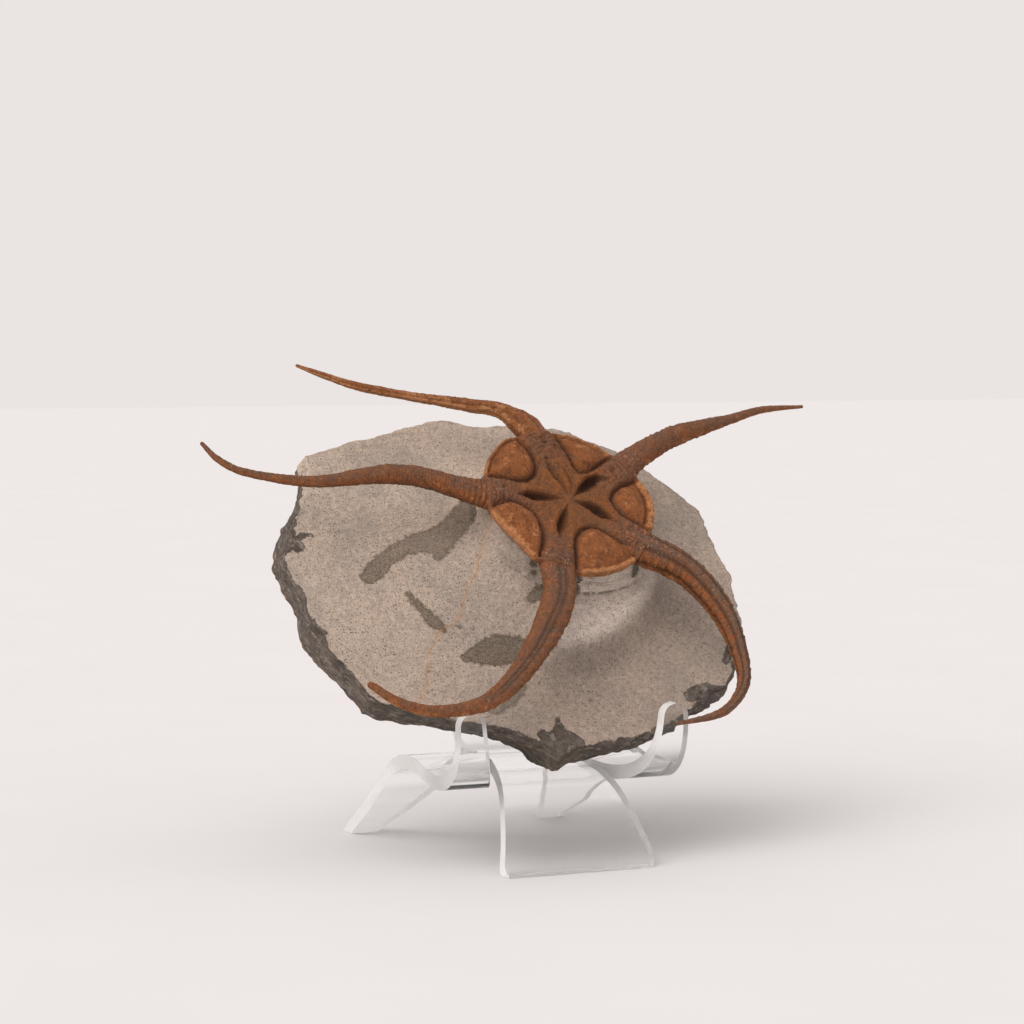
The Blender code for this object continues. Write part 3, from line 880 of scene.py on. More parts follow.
# --- slab ----------------------------------------------------------------------
@dataclass
class MatrixSlab:
    """The rock slab with its boss, sanded face, stains and broken edge."""

    axes: SlabAxes
    sides: int = 512
    thickness: float = 15.0
    back_inset: float = 6.6
    # Height at which the easel carries the slab, and how far the slab hangs below that in front.
    rest_height: float = 20.9
    front_hang: float = 1.9
    boss_top: float = 11.0
    foot_height: float = 5.4
    boss_rings: int = 6
    wall_rings: int = 30
    face_rings: int = 82
    side_rings: int = 22
    under_rings: int = 24
    back_rings: int = 26
    # Number of rings past the rim that still belong to the chipped edge.
    chipped_under: int = 8
    # Size of the chips in the broken rock and spacing of the scores on the neck, in mm.
    chip_size: float = 4.4
    score_pitch: float = 0.95
    # Directions in which the neck is scored, in degrees: where the scores start and where they stop.
    scored_sector: Route = ((250.0, 262.0), (322.0, 336.0))
    # Corners of the rim, anticlockwise from the upper left.
    rim: Route = (
        (-51.2, 24.0), (-51.5, 18.8), (-53.4, 14.5), (-57.2, 9.8), (-60.4, 5.6), (-63.6, -1.7),
        (-62.4, -8.1), (-61.0, -13.4), (-61.6, -20.8), (-60.0, -24.2), (-55.8, -31.5), (-52.6, -37.8),
        (-50.2, -39.8), (-45.0, -41.4), (-35.0, -45.0), (-28.6, -46.8), (-24.0, -48.2), (-17.9, -51.0),
        (-14.5, -55.7), (-7.6, -53.2), (6.0, -51.6), (12.0, -49.6), (20.0, -46.4), (28.2, -42.4),
        (31.8, -40.6), (34.8, -37.1), (39.0, -31.5), (41.3, -24.5), (42.0, -18.4), (42.8, -12.7),
        (42.2, -7.4), (41.0, -1.9), (41.7, 3.3), (40.9, 7.0), (38.3, 10.4), (34.0, 14.8),
        (30.2, 19.0), (25.6, 22.7), (21.3, 24.8), (13.0, 28.6), (0.4, 30.7), (-6.2, 30.2),
        (-10.8, 30.7), (-14.4, 32.4), (-18.2, 32.4), (-25.4, 31.0), (-29.9, 29.4), (-33.7, 28.1),
        (-38.5, 27.2), (-44.7, 25.7),
    )
    # Width of the chipped band between the face and the rim: angle in degrees, width in mm.
    chip_widths: Route = (
        (0, 0.5), (40, 0.5), (150, 0.5), (162, 0.5), (167, 0.9), (173, 2.1), (180, 2.4), (184, 0.6),
        (187, 0.3), (190, 1.0), (194, 0.3), (198, 1.6), (200, 2.2), (203, 0.8), (206, 0.4), (211, 0.5),
        (225, 0.6), (240, 0.8), (250, 0.8), (255, 1.5), (262, 0.8), (280, 0.5), (295, 0.8), (300, 2.2),
        (304, 2.4), (308, 1.1), (312, 0.8), (317, 1.4), (320, 1.6), (325, 0.6), (335, 0.4), (360, 0.5),
    )
    # Depth of the widest part of the broken side under the face: angle in degrees, mm.
    rim_depths: Route = (
        (0, 5.5), (222, 5.5), (230, 2.4), (248, 2.2), (255, 4.5),
        (264, 5.0), (276, 3.4), (322, 3.0), (340, 5.0), (360, 5.5),
    )
    # Where the edge of the slab is broken dark: angle in degrees, 0 sanded to 1 broken.
    broken_edge: Route = (
        (0, 0.25), (20, 0.1), (50, 0.0), (155, 0.0), (166, 0.5),
        (170, 1.0), (325, 1.0), (342, 0.7), (360, 0.25),
    )
    # Radius at the foot of the boss: angle in degrees, mm.
    foot_radii: Route = (
        (0, 19.0), (12, 18.6), (120, 18.6), (145, 19.8), (165, 18.6), (250, 17.9), (262, 17.7), (270, 17.8),
        (282, 18.4), (295, 19.5), (308, 20.9), (320, 21.8), (334, 21.0), (348, 19.6), (360, 19.0),
    )
    # Distance from the middle to the edge of the raised shoulder under the star: angle, mm.
    shoulder_edge: Route = (
        (240, 31.0), (255, 30.4), (265, 28.8), (276, 27.4), (290, 25.8),
        (309, 24.8), (323, 24.6), (338, 24.4), (352, 23.0),
    )
    # Stains on the face: x, y, half width, strength.
    stains: Sequence[Route] = (
        (
            (-13.4, 11.0, 2.0, 0.80), (-17.6, 7.2, 2.4, 0.80), (-20.7, 3.8, 2.7, 0.80),
            (-23.8, 1.1, 3.0, 0.76), (-27.0, -1.2, 3.5, 0.70), (-31.5, -1.0, 2.7, 0.66),
            (-35.5, -1.8, 2.3, 0.68), (-39.7, -4.1, 2.1, 0.74), (-43.2, -7.0, 2.5, 0.82),
            (-45.3, -8.6, 1.9, 0.84),
        ),
        ((-26.0, -2.6, 1.8, 0.74), (-28.4, -5.0, 1.2, 0.70)),
        (
            (-37.4, -13.5, 1.0, 0.84), (-36.0, -16.2, 1.0, 0.82), (-34.7, -18.8, 1.6, 0.82),
            (-33.4, -21.0, 2.0, 0.84), (-32.0, -22.4, 1.0, 0.88),
        ),
        ((-28.6, -22.2, 0.6, 0.7), (-27.8, -22.5, 0.6, 0.7)),
        ((-25.6, -23.0, 0.3, 0.7), (-25.3, -23.0, 0.3, 0.7)),
        (
            (-28.9, -29.9, 1.4, 0.88), (-26.2, -29.6, 2.4, 0.88), (-23.2, -29.1, 3.5, 0.88),
            (-20.0, -28.6, 3.9, 0.88), (-16.6, -28.0, 2.6, 0.88),
        ),
        ((-18.6, -37.2, 2.2, 0.66), (-22.2, -39.8, 2.7, 0.66), (-26.0, -42.2, 2.0, 0.60)),
        ((-13.4, -36.4, 0.35, 0.8), (-13.1, -36.4, 0.35, 0.8)),
        ((-10.9, -17.8, 1.3, 0.84), (-8.8, -17.0, 1.7, 0.84), (-7.0, -16.6, 1.2, 0.80)),
        ((-44.6, -28.0, 0.3, 0.8), (-44.4, -28.0, 0.3, 0.8)),
        ((-38.4, -32.6, 0.35, 0.7), (-38.0, -32.6, 0.3, 0.7)),
        ((-2.6, -41.2, 0.4, 0.7), (-2.2, -41.3, 0.4, 0.7)),
    )
    # Patches of fresh dark break on the face: x, y, half width.
    dark_patches: Sequence[Route] = (
        ((-61.4, 0.4, 1.6), (-59.6, 1.4, 1.9), (-58.6, 0.2, 1.5)),
        ((-58.0, 2.6, 0.9), (-56.2, 3.3, 0.5), (-54.6, 2.9, 0.4)),
        ((-12.0, -45.6, 0.3), (-12.2, -48.2, 1.4), (-13.0, -51.2, 3.0)),
        ((-12.6, -50.2, 2.6), (-9.0, -51.6, 1.6)),
        ((-16.6, -49.4, 1.3), (-15.0, -51.4, 2.0)),
        ((21.4, -42.0, 1.4), (24.4, -41.0, 1.7), (26.6, -40.0, 1.0)),
        ((33.4, -33.8, 0.8), (35.2, -31.6, 0.9), (36.6, -28.4, 0.5)),
    )
    # Dark spots on the neck of the boss, beside the arms' roots: angle in degrees, height, half width.
    neck_dark_spots: Sequence[Triple] = (
        (229.0, 9.8, 1.1), (233.0, 7.6, 0.9), (264.0, 8.6, 1.7), (266.0, 6.4, 1.5),
        (320.0, 9.4, 2.2), (316.0, 7.4, 1.7), (146.0, 9.4, 1.4),
    )
    vein: Route = (
        (-16.6, 2.6), (-17.6, -1.0), (-19.6, -6.0), (-21.4, -10.4), (-24.0, -13.2),
        (-25.6, -16.0), (-26.8, -19.6), (-29.6, -21.4), (-33.4, -23.4), (-35.2, -26.0),
        (-37.4, -29.0), (-38.6, -33.0), (-40.2, -37.4), (-42.8, -40.0),
    )

    def build(self, surface: Material) -> bpy.types.Object:
        """Make the slab.

        Args:
            surface: The rock finish.

        Returns:
            The finished piece.
        """
        angles = np.arange(self.sides) * math.tau / self.sides
        radius, height, face, broken, back = self._stations(angles)
        mesh = spun_blank("matrix_slab_stone", radius.shape[1], self.sides)
        ring, angle = ring_and_angle(mesh)
        sector = np.rint(angle / math.tau * self.sides).astype(int) % self.sides
        out = np.stack((np.cos(angle), np.sin(angle)), axis=1)
        places = np.column_stack((out * radius[sector, ring][:, None], height[sector, ring]))
        chip = self._chip_depth(places, ring, sector, radius, height)
        places = self._weathered(places, out, face[ring], broken[ring], back[ring], chip)
        row = self.axes.to_row(places)
        hanging = self.front_hang * ease(-row[:, 1] / MM, 17.0, 21.0)
        row[:, 2] = np.maximum(row[:, 2], (self.rest_height - hanging) * MM)
        move_to(mesh, row)
        self._paint(mesh, places, chip, ring)
        return finish_piece("matrix_slab_stone", mesh, surface, "matrix_slab")

    @property
    def first_face(self) -> int:
        """Number of the first ring outside the boss."""
        return self.boss_rings + self.wall_rings

    @property
    def first_chip(self) -> int:
        """Number of the first ring outside the sanded face."""
        return self.first_face + self.face_rings

    @property
    def rim_ring(self) -> int:
        """Number of the ring at the rim."""
        return self.first_chip + self.side_rings

    def _edges(self, angles: Array) -> tuple[Array, Array]:
        """Radius of the rim and of the chipped face edge at each angle."""
        around = on_circle(angles)
        rim = np.array([outline_radius(angle, self.rim) for angle in angles])
        rim += 0.35 * noise_at(around, 0.11) + 0.22 * noise_at(around, 0.03, 3.1)
        chip = read_table(self.chip_widths, np.degrees(angles))
        ragged = 1.0 + 0.5 * noise_at(around, 0.077) + 0.6 * noise_at(around, 0.03, 5.0)
        return rim, rim - np.maximum(chip * ragged, 0.4)

    def _flare(self, radius: Array, angles: Array, foot: Array) -> Array:
        """Height of the face where the boss runs out into the slab."""
        degrees = np.degrees(angles) % 360.0
        reach = 8.5 + 3.5 * (0.5 - 0.5 * np.cos(angles - math.radians(20.0)))
        beyond = radius - foot[:, None]
        trumpet = self.foot_height * np.exp(-beyond / reach[:, None])
        edge = read_table(self.shoulder_edge, degrees)[:, None]
        fall = 1.0 - ease(radius, edge - 2.0, edge + 7.5)
        hollow = bell(radius - edge - 8.5, 5.0)
        shoulder = self.foot_height * (0.12 * np.exp(-beyond / 3.0) + 0.88) * fall - 0.9 * hollow
        weight = between(degrees, (238.0, 262.0), (336.0, 358.0))[:, None]
        return trumpet + (shoulder - trumpet) * weight

    def _stations(self, angles: Array) -> tuple[Array, ...]:
        """The slab cut at every angle round the boss.

        Args:
            angles: Angles of the cuts, in radians.

        Returns:
            Radius and height of each station at each angle, then how much each
            station belongs to the face, to the broken side and to the back.
        """
        rim, edge = self._edges(angles)
        degrees = np.degrees(angles) % 360.0
        foot = read_table(self.foot_radii, degrees)
        neck = np.minimum(foot - 1.1, 18.6)
        one = np.ones_like(angles)[:, None]
        share = np.linspace(0.0, 1.0, self.boss_rings)
        blocks = [(share * neck[:, None], self.boss_top * one * np.ones(self.boss_rings), 0, 0, 0)]
        fall = shares(self.wall_rings)
        wall_height = self.boss_top + (self.foot_height - self.boss_top) * fall
        blocks.append((neck[:, None] + (foot - neck)[:, None] * fall**1.6, wall_height * one, 0.45, 0, 0))
        share = shares(self.face_rings) ** 1.12
        flare_radius = foot[:, None] + share * (edge - foot)[:, None]
        flare = self._flare(flare_radius, angles, foot)
        blocks.append((flare_radius, flare, 1.0, 0, 0))
        share = shares(self.side_rings)
        depth = read_table(self.rim_depths, degrees)[:, None]
        drop = flare[:, -1:] - (depth + flare[:, -1:]) * share
        blocks.append((edge[:, None] + (rim - edge)[:, None] * share**0.8, drop, 0, 1.0, 0))
        share = shares(self.under_rings)
        inset = self.back_inset + 2.4 * bell(angle_between(degrees, 225.0), 60.0)
        under = -depth + (depth - self.thickness) * share
        blocks.append((rim[:, None] - inset[:, None] * share**0.9, under, 0, 1.0, 0))
        share = np.linspace(1.0, 0.0, self.back_rings + 1)[1:]
        flat = -self.thickness * one * np.ones(self.back_rings)
        blocks.append((share * (rim - inset)[:, None], flat, 0, 0, 1.0))
        radius, height = (np.hstack([block[n] for block in blocks]) for n in (0, 1))
        lengths = [block[0].shape[1] for block in blocks]
        weights = (np.repeat([float(block[n]) for block in blocks], lengths) for n in (2, 3, 4))
        return radius, height, *weights

    def _chip_depth(self, places: Array, ring: Array, sector: Array, radius: Array, height: Array) -> Array:
        """How deep each vertex lies in freshly broken rock.

        Args:
            places: Vertex places in the slab's axes, in mm.
            ring: Ring number of each vertex.
            sector: Number of each vertex's cut.
            radius: Radius of each station at each cut.
            height: Height of each station at each cut.

        Returns:
            The depth in mm, below 0 on the sanded face.
        """
        out = radius[sector, ring] - radius[sector, self.first_chip - 1]
        beyond = out + 0.7 * (height[sector, self.first_chip - 1] - height[sector, ring])
        sanded_over = 3.6 * (1.0 - read_table(self.broken_edge, bearing(places)))
        depth = np.where(ring < self.first_chip, out, np.maximum(beyond, 0.3)) - sanded_over
        depth = np.where(ring >= self.rim_ring + self.chipped_under, 4.0, depth)
        inside = np.full(len(places), -4.0)
        for patch in self.dark_patches:
            reading = read_route(places[:, :2], patch)
            inside = np.maximum(inside, reading.columns[:, 0] - reading.distance)
        depth = np.where(ring >= self.first_face, np.maximum(depth, inside), depth)
        return np.clip(depth, -4.0, 4.0)

    def _weathered(
        self, places: Array, out: Array, face: Array, broken: Array, back: Array, chip: Array
    ) -> Array:
        """Give the blank its sanded ripple, its broken edge and its rough back.

        Args:
            places: Vertex places in the slab's axes, in mm.
            out: Outward direction of each vertex in the slab's plane.
            face: How much each vertex belongs to the sanded face.
            broken: How much it belongs to the broken side.
            back: How much it belongs to the back.
            chip: How deep it lies in broken rock.

        Returns:
            The moved places.
        """
        broad = noise_at(places, 11.0)
        medium = noise_at(places, 3.4, 2.0)
        small = noise_at(places, 1.1, 5.0)
        moved = places.copy()
        moved[:, 2] += face * (0.30 * broad + 0.10 * medium + 0.04 * small)
        patch = face * ease(chip, -0.1, 0.5)
        moved[:, 2] -= patch * (0.35 + 0.5 * np.abs(medium))
        crumble = face * ease(-chip, 3.0, 0.0) * (chip < 0)
        moved[:, 2] -= crumble * 0.45 * np.clip(medium + 0.2, 0.0, 1.0)
        chips = np.zeros(len(places))
        rough = (broken + back) > 0
        chips[rough] = facets_at(places[rough], self.chip_size)
        push = broken * (0.45 * broad + 0.40 * medium + 0.24 * small - 1.2 * chips + 0.35)
        moved[:, :2] += out * push[:, None]
        moved[:, 2] += broken * 0.45 * medium
        lumps = 1.5 * np.clip(broad + 0.25, 0.0, 1.0) + 0.9 * chips
        moved[:, 2] += back * (lumps + 0.35 * np.clip(medium, 0.0, 1.0))
        neck = (face > 0.4) & (face < 0.5)
        scores = np.sin(math.tau * (places[:, 2] + 0.5 * medium) / self.score_pitch)
        scores *= between(bearing(out), *self.scored_sector)
        moved[:, :2] += out * (neck * (0.26 * medium + 0.10 * small + 0.07 * scores))[:, None]
        return moved

    def _paint(self, mesh: Mesh, places: Array, chip: Array, ring: Array) -> None:
        """Store where the breaks, stains, tones, vein and rust lie, and where shade and light are painted.
        """
        plane = places[:, :2]
        degrees = bearing(plane)
        first_face = self.first_face
        front = ring < self.first_chip
        paint(mesh, "chip", chip)
        depth = np.full(len(plane), -4.0)
        tone = np.full(len(plane), 0.7)
        for stain in self.stains:
            reading = read_route(plane, stain)
            inside = reading.columns[:, 0] - reading.distance
            deeper = inside > depth
            depth[deeper] = inside[deeper]
            tone[deeper] = reading.columns[deeper, 1]
        depth = np.where(front & (ring >= first_face - 4), depth, -4.0)
        on_neck = (ring >= self.boss_rings) & (ring < first_face + 3)
        # The dark spots on the neck darken it in the same way as the stains.
        for middle, high, half in self.neck_dark_spots:
            off = np.hypot(angle_between(degrees, middle) * 0.32, places[:, 2] - high)
            depth = np.where(on_neck, np.maximum(depth, half - off), depth)
        paint(mesh, "stain", depth)
        paint(mesh, "stain_tone", np.where(on_neck & (depth > -1.0), 0.95, tone))
        radius = np.hypot(plane[:, 0], plane[:, 1])
        edge = read_table(self.shoulder_edge, degrees)
        scored = between(degrees, *self.scored_sector)
        paint(mesh, "scored", on_neck * scored)
        # Painted light, partly paler sanded rock, on the neck and the shoulder below it in the scored
        # directions.
        plateau = front * (ring >= self.boss_rings) * (1.0 - ease(radius, edge - 1.0, edge + 2.5))
        paint(mesh, "neck", np.maximum(on_neck, plateau) * scored)
        # Painted shade: darker towards the lower right, and deepest in the valley beyond the shoulder under
        # the star.
        lower_right = between(degrees, (236.0, 262.0), (338.0, 360.0))
        valley = bell(radius - edge - 3.6, 3.2) + 0.5 * bell(radius - edge - 9.0, 8.0)
        broad = ease(plane[:, 0] * 0.35 - plane[:, 1] * 0.90, -34.0, 50.0)
        beyond = ease(radius - edge, 1.0, 7.0) * lower_right
        shade = 0.34 * broad + (0.20 * valley + 0.12 * beyond) * lower_right
        paint(mesh, "shade", np.clip(shade, 0.0, 1.0) * front)
        # Painted shade in the crease at the foot of the neck.
        creased = between(degrees, (254.0, 262.0), (296.0, 316.0))
        paint(mesh, "crease", bell(ring - first_face + 0.5, 1.3) * creased)
        reading = read_route(plane, self.vein)
        paint(mesh, "vein_offset", np.clip(reading.offset, -4.0, 4.0))
        near = (reading.distance < 3.9) & front
        paint(mesh, "vein", near * ease(reading.share, 0.0, 0.04))
        at_rim = bell((ring - self.rim_ring).astype(float), 2.2)
        lower_left = ease(-places[:, 0] - 0.6 * places[:, 1], 25.0, 45.0)
        paint(mesh, "rust_line", at_rim * (0.15 + 0.85 * lower_left))


# --- disc ----------------------------------------------------------------------
@dataclass(frozen=True)
class Lobe:
    """One smooth lobe between two arms."""

    # Its groove, from rim to rim round the inner end: x, y in mm.
    groove: Route
    # Width of the raised lip at the rim, depth of the moat inside it, rise of the lobe.
    lip: float
    moat: float
    rise: float


@dataclass
class StarDisc:
    """The star's disc: lobes, grooves, petal pits and rough bands."""

    axes: SlabAxes
    sides: int = 480
    top_rings: int = 130
    top: float = 14.5
    dome: float = 0.5
    arm_angles: Sequence[float] = (98.0, 171.0, 243.0, 319.0, 28.0)
    band_half_width: float = 3.7
    band_rise: float = 1.45
    # A radius that is larger than the rim's everywhere, in mm.
    outside: float = 22.0
    # Depth of the grooves round the lobes and spacing of the plates in the bands, in mm.
    groove_depth: float = 0.95
    plate_pitch: float = 1.1
    # Direction and spread of the worn side of the rim, in degrees.
    worn_side: float = 205.0
    worn_spread: float = 26.0
    # Radius of the worn rim: angle in degrees, mm.
    rim_radii: Route = (
        (0, 19.8), (18, 19.3), (34, 18.4), (48, 17.8), (66, 17.7), (84, 18.0),
        (98, 17.8), (110, 18.6), (125, 19.6), (150, 19.8), (171, 19.5), (184, 19.7),
        (198, 18.9), (210, 18.3), (221, 19.0), (230, 19.3), (243, 19.0), (270, 19.4),
        (300, 19.4), (319, 19.2), (345, 19.6), (360, 19.8),
    )
    # Petal pits along their steep edges: x, y, width and depth; the sign says which side slopes gently.
    pits: Sequence[tuple[float, Route]] = (
        (1.0, (
            (-1.6, 0.6, 0.4, 0.4), (-3.4, 1.2, 1.4, 1.2), (-5.4, 1.8, 2.0, 1.9),
            (-7.6, 2.3, 2.2, 2.3), (-9.8, 2.5, 2.0, 2.0), (-11.4, 2.0, 1.1, 0.8),
        )),
        (-1.0, (
            (1.0, 1.0, 0.5, 0.4), (2.8, 2.9, 1.8, 1.4), (4.3, 4.4, 2.8, 2.3),
            (6.3, 5.9, 3.0, 2.8), (8.6, 6.4, 2.5, 2.3), (10.2, 5.6, 1.3, 0.9),
        )),
        (-1.0, (
            (1.3, -0.4, 0.5, 0.4), (3.2, -0.6, 1.7, 1.4), (5.0, -1.1, 2.5, 2.1),
            (6.6, -2.2, 2.6, 2.4), (8.1, -3.8, 2.2, 2.0), (9.0, -5.5, 1.1, 0.7),
        )),
        (1.0, (
            (-1.1, -1.2, 0.4, 0.4), (-2.6, -2.8, 1.6, 1.4), (-4.0, -4.4, 2.4, 2.2),
            (-5.2, -6.2, 2.4, 2.1), (-5.9, -8.0, 1.8, 1.3), (-6.0, -9.6, 0.9, 0.5),
        )),
        (1.0, (
            (-2.8, 10.4, 0.9, 0.5), (-2.6, 8.2, 1.8, 1.0), (-2.0, 5.9, 2.0, 1.2),
            (-0.9, 3.6, 1.3, 0.9), (-0.3, 1.6, 0.5, 0.3),
        )),
        (1.0, (
            (0.0, 9.4, 0.4, 0.3), (0.9, 8.0, 0.6, 0.6), (1.4, 6.0, 0.6, 0.7),
            (1.4, 4.2, 0.5, 0.6), (0.9, 2.2, 0.4, 0.3),
        )),
    )
    lobes: Sequence[Lobe] = (
        Lobe((
            (-19.4, 6.6), (-16.6, 6.9), (-14.4, 6.4), (-11.6, 5.5), (-8.6, 5.6),
            (-6.6, 6.9), (-5.5, 8.9), (-5.5, 11.2), (-6.2, 13.8), (-7.4, 16.6),
        ), 0.75, 0.6, 1.55),
        Lobe((
            (2.2, 17.0), (3.4, 14.0), (3.9, 11.4), (4.1, 9.2), (4.9, 7.4),
            (6.6, 7.1), (8.8, 8.3), (11.4, 9.9), (14.6, 11.4),
        ), 0.85, 0.6, 1.5),
        Lobe((
            (18.2, 5.0), (16.0, 3.9), (13.4, 3.0), (11.2, 1.6), (10.2, -0.3),
            (10.5, -2.4), (11.7, -4.5), (14.0, -6.7), (16.8, -8.8),
        ), 1.9, 0.6, 1.35),
        Lobe((
            (11.6, -15.8), (10.0, -13.8), (8.2, -11.7), (6.2, -9.5), (4.2, -7.8), (2.4, -7.3),
            (0.2, -8.0), (-1.6, -9.8), (-2.8, -12.5), (-3.6, -15.6), (-4.4, -19.2),
        ), 1.2, 0.22, 1.4),
        Lobe((
            (-20.0, -1.2), (-17.2, -0.4), (-14.6, -0.2), (-12.0, -1.2), (-10.0, -2.8),
            (-9.2, -4.8), (-9.1, -7.9), (-10.3, -11.5), (-12.1, -14.7), (-13.2, -16.6),
        ), 0.3, 0.0, 1.3),
    )

    def build(self, surface: Material) -> bpy.types.Object:
        """Make the disc.

        Args:
            surface: The fossil finish.

        Returns:
            The finished piece.
        """
        share = np.linspace(0.0, 1.0, self.top_rings) ** 0.93
        reach = np.concatenate((share * 0.975, (0.988, 0.996, 1.0, 1.002)))
        drops = np.concatenate((np.zeros(self.top_rings), (0.05, 0.18, 0.42, 0.75)))
        # The underside, from the edge back to the neck: share of the rim and drop in mm.
        lower = np.array((
            (1.0, 1.05), (0.995, 1.3), (0.985, 1.6), (0.965, 1.9), (0.94, 2.3),
            (0.915, 2.8), (0.89, 3.2), (0.6, 3.2), (0.3, 3.2), (0.0, 3.2),
        ))
        reach = np.concatenate((reach, lower[:, 0]))
        drops = np.concatenate((drops, lower[:, 1]))
        count = len(reach)
        mesh = spun_blank("star_disc_fossil", count, self.sides)
        ring, angle = ring_and_angle(mesh)
        rim = self._rim(angle)
        radius = reach[ring] * rim
        plane = np.stack((np.cos(angle), np.sin(angle)), axis=1) * radius[:, None]
        relief, marks = self._relief(plane, rim)
        after_top = np.clip(ring - self.top_rings, 0, 11)
        on_top = np.array((1.0, 1.0, 0.95, 0.8, 0.6, 0.35, 0.15, 0.0, 0.0, 0.0, 0.0, 0.0))[after_top]
        places = np.column_stack((plane, self.top - drops[ring] + relief * on_top))
        edge = (ring > self.top_rings - 3) & (ring < self.top_rings + 9)
        grit = noise_at(places, 0.9, 9.0) + 0.6 * noise_at(places, 0.4, 2.0)
        places[:, :2] *= (1.0 + edge * 0.008 * grit)[:, None]
        move_to(mesh, self.axes.to_row(places))
        for name, values in marks.items():
            paint(mesh, name, values)
        return finish_piece("star_disc_fossil", mesh, surface, "star_disc")

    def _rim(self, angle: Array) -> Array:
        """Radius of the worn rim at some angles, in radians."""
        around = on_circle(angle)
        plain = read_table(self.rim_radii, np.degrees(angle))
        return plain + 0.16 * noise_at(around, 0.3) + 0.12 * noise_at(around, 0.09, 2.0)

    def _lobe_relief(self, plane: Array, rim: Array, lobe: Lobe) -> tuple[Array, Array, Array, Array]:
        """Relief of one lobe with its groove, moat and lip.

        Args:
            plane: Places on the disc, in mm.
            rim: Radius of the rim in each place's direction, in mm.
            lobe: The lobe.

        Returns:
            The height, the share of lobe, of lip and of painted shade in the hollows at each place.
        """
        radius = np.hypot(plane[:, 0], plane[:, 1])
        groove = np.array(lobe.groove, dtype=float)
        reading = read_route(plane, lobe.groove)
        first, last = bearing(groove[[0, -1]])
        turns = last - angle_between(last, first) * np.linspace(0.0, 1.0, 12)
        arc = self.outside * on_circle(np.radians(turns))[:, :2]
        inside = inside_outline(plane, np.vstack((groove, arc)))
        to_rim = rim - radius
        to_moat = np.maximum(to_rim - lobe.lip, 0.0)
        depth = np.where(inside, reading.distance, 0.0)
        plateau = 1.0 - bell(depth, 1.25)
        slope = 0.45 + 0.55 * ease(to_moat, 0.0, 4.2)
        crown = 0.30 * ease(depth, 1.0, 5.0)
        height = inside * lobe.rise * plateau * slope + inside * crown * slope
        fade = ease(to_rim, 0.15, 1.4)
        width = np.where(inside, 0.40, 0.62)
        cut = np.exp(-((reading.distance / width) ** 2)) * fade
        height -= self.groove_depth * cut
        clear = ease(reading.distance, 0.2, 1.4)
        moat = bell(to_rim - lobe.lip, 0.42) * inside * clear
        height -= lobe.moat * moat
        lip = inside * (1.0 - ease(to_rim, lobe.lip * 0.65, lobe.lip + 0.15)) * clear
        beads = noise_at(np.column_stack((plane, radius)), 0.75, 3.0)
        height += (0.12 + 0.20 * beads) * lip * (lobe.moat > 0)
        lip = lip * np.clip(0.75 + 0.9 * beads, 0.2, 1.0)
        hollow = np.maximum(0.72 * cut**1.5, 0.8 * lobe.moat * moat)
        return height, inside * ease(depth, 0.1, 1.2), lip, hollow

    def _relief(self, plane: Array, rim: Array) -> tuple[Array, dict[str, Array]]:
        """Height of the upper face and the numbers that its finish reads.

        Args:
            plane: Places on the disc, in mm.
            rim: Radius of the rim in each place's direction, in mm.

        Returns:
            The height over the rim plane and the painted numbers by name.
        """
        radius = np.hypot(plane[:, 0], plane[:, 1])
        degrees = bearing(plane)
        solid = np.column_stack((plane, np.zeros(len(plane))))
        relief = self.dome * (1.0 - (radius / rim) ** 2)
        cavity_shade, lobe_mask, lip = (np.zeros(len(plane)) for _ in range(3))
        for lobe in self.lobes:
            height, mask, rim_lip, hollow = self._lobe_relief(plane, rim, lobe)
            relief += height
            lobe_mask = np.maximum(lobe_mask, mask)
            lip = np.maximum(lip, rim_lip)
            cavity_shade = np.maximum(cavity_shade, hollow)
        worn = 1.0 + 0.5 * noise_at(solid, 1.6, 11.0)
        wear = bell(angle_between(degrees, self.worn_side), self.worn_spread) * lobe_mask
        wear *= 1.0 - ease(rim - radius, 0.15 * worn, 1.2 * worn)
        relief -= 0.5 * wear
        swell = noise_at(solid, 3.0, 4.0)
        band = self._bands(radius, degrees)
        plates = 0.12 * np.cos(math.tau * (radius + 0.7 * swell) / self.plate_pitch)
        lumps = noise_at(solid, 1.3, 7.0)
        small = noise_at(solid, 0.62, 1.0)
        fine = noise_at(solid, 0.34, 6.0)
        relief += band * (self.band_rise + 0.6 * plates + 0.26 * lumps + 0.20 * small)
        rough = 1.0 - 0.45 * lobe_mask
        relief += 0.20 * swell * rough + rough * (0.13 * lumps + 0.11 * small + 0.07 * fine) + 0.05 * fine
        crest = np.zeros(len(plane))
        for sign, pit in self.pits:
            cut, dark, raised = self._pit_cut(plane, sign, pit)
            crest = np.maximum(crest, raised)
            relief += 0.45 * raised - cut
            cavity_shade = np.maximum(cavity_shade, dark)
        heart = 1.0 - ease(radius, 7.5, 11.0)
        # Painted shade in the creases between the lumps and the plates.
        creases = np.clip(-lumps - 0.1, 0.0, 1.0) * 1.1 + np.clip(-plates * band * 4.0, 0.0, 0.3)
        cavity_shade = np.maximum(cavity_shade, np.clip(creases * rough * (0.25 + 0.5 * band), 0.0, 0.6))
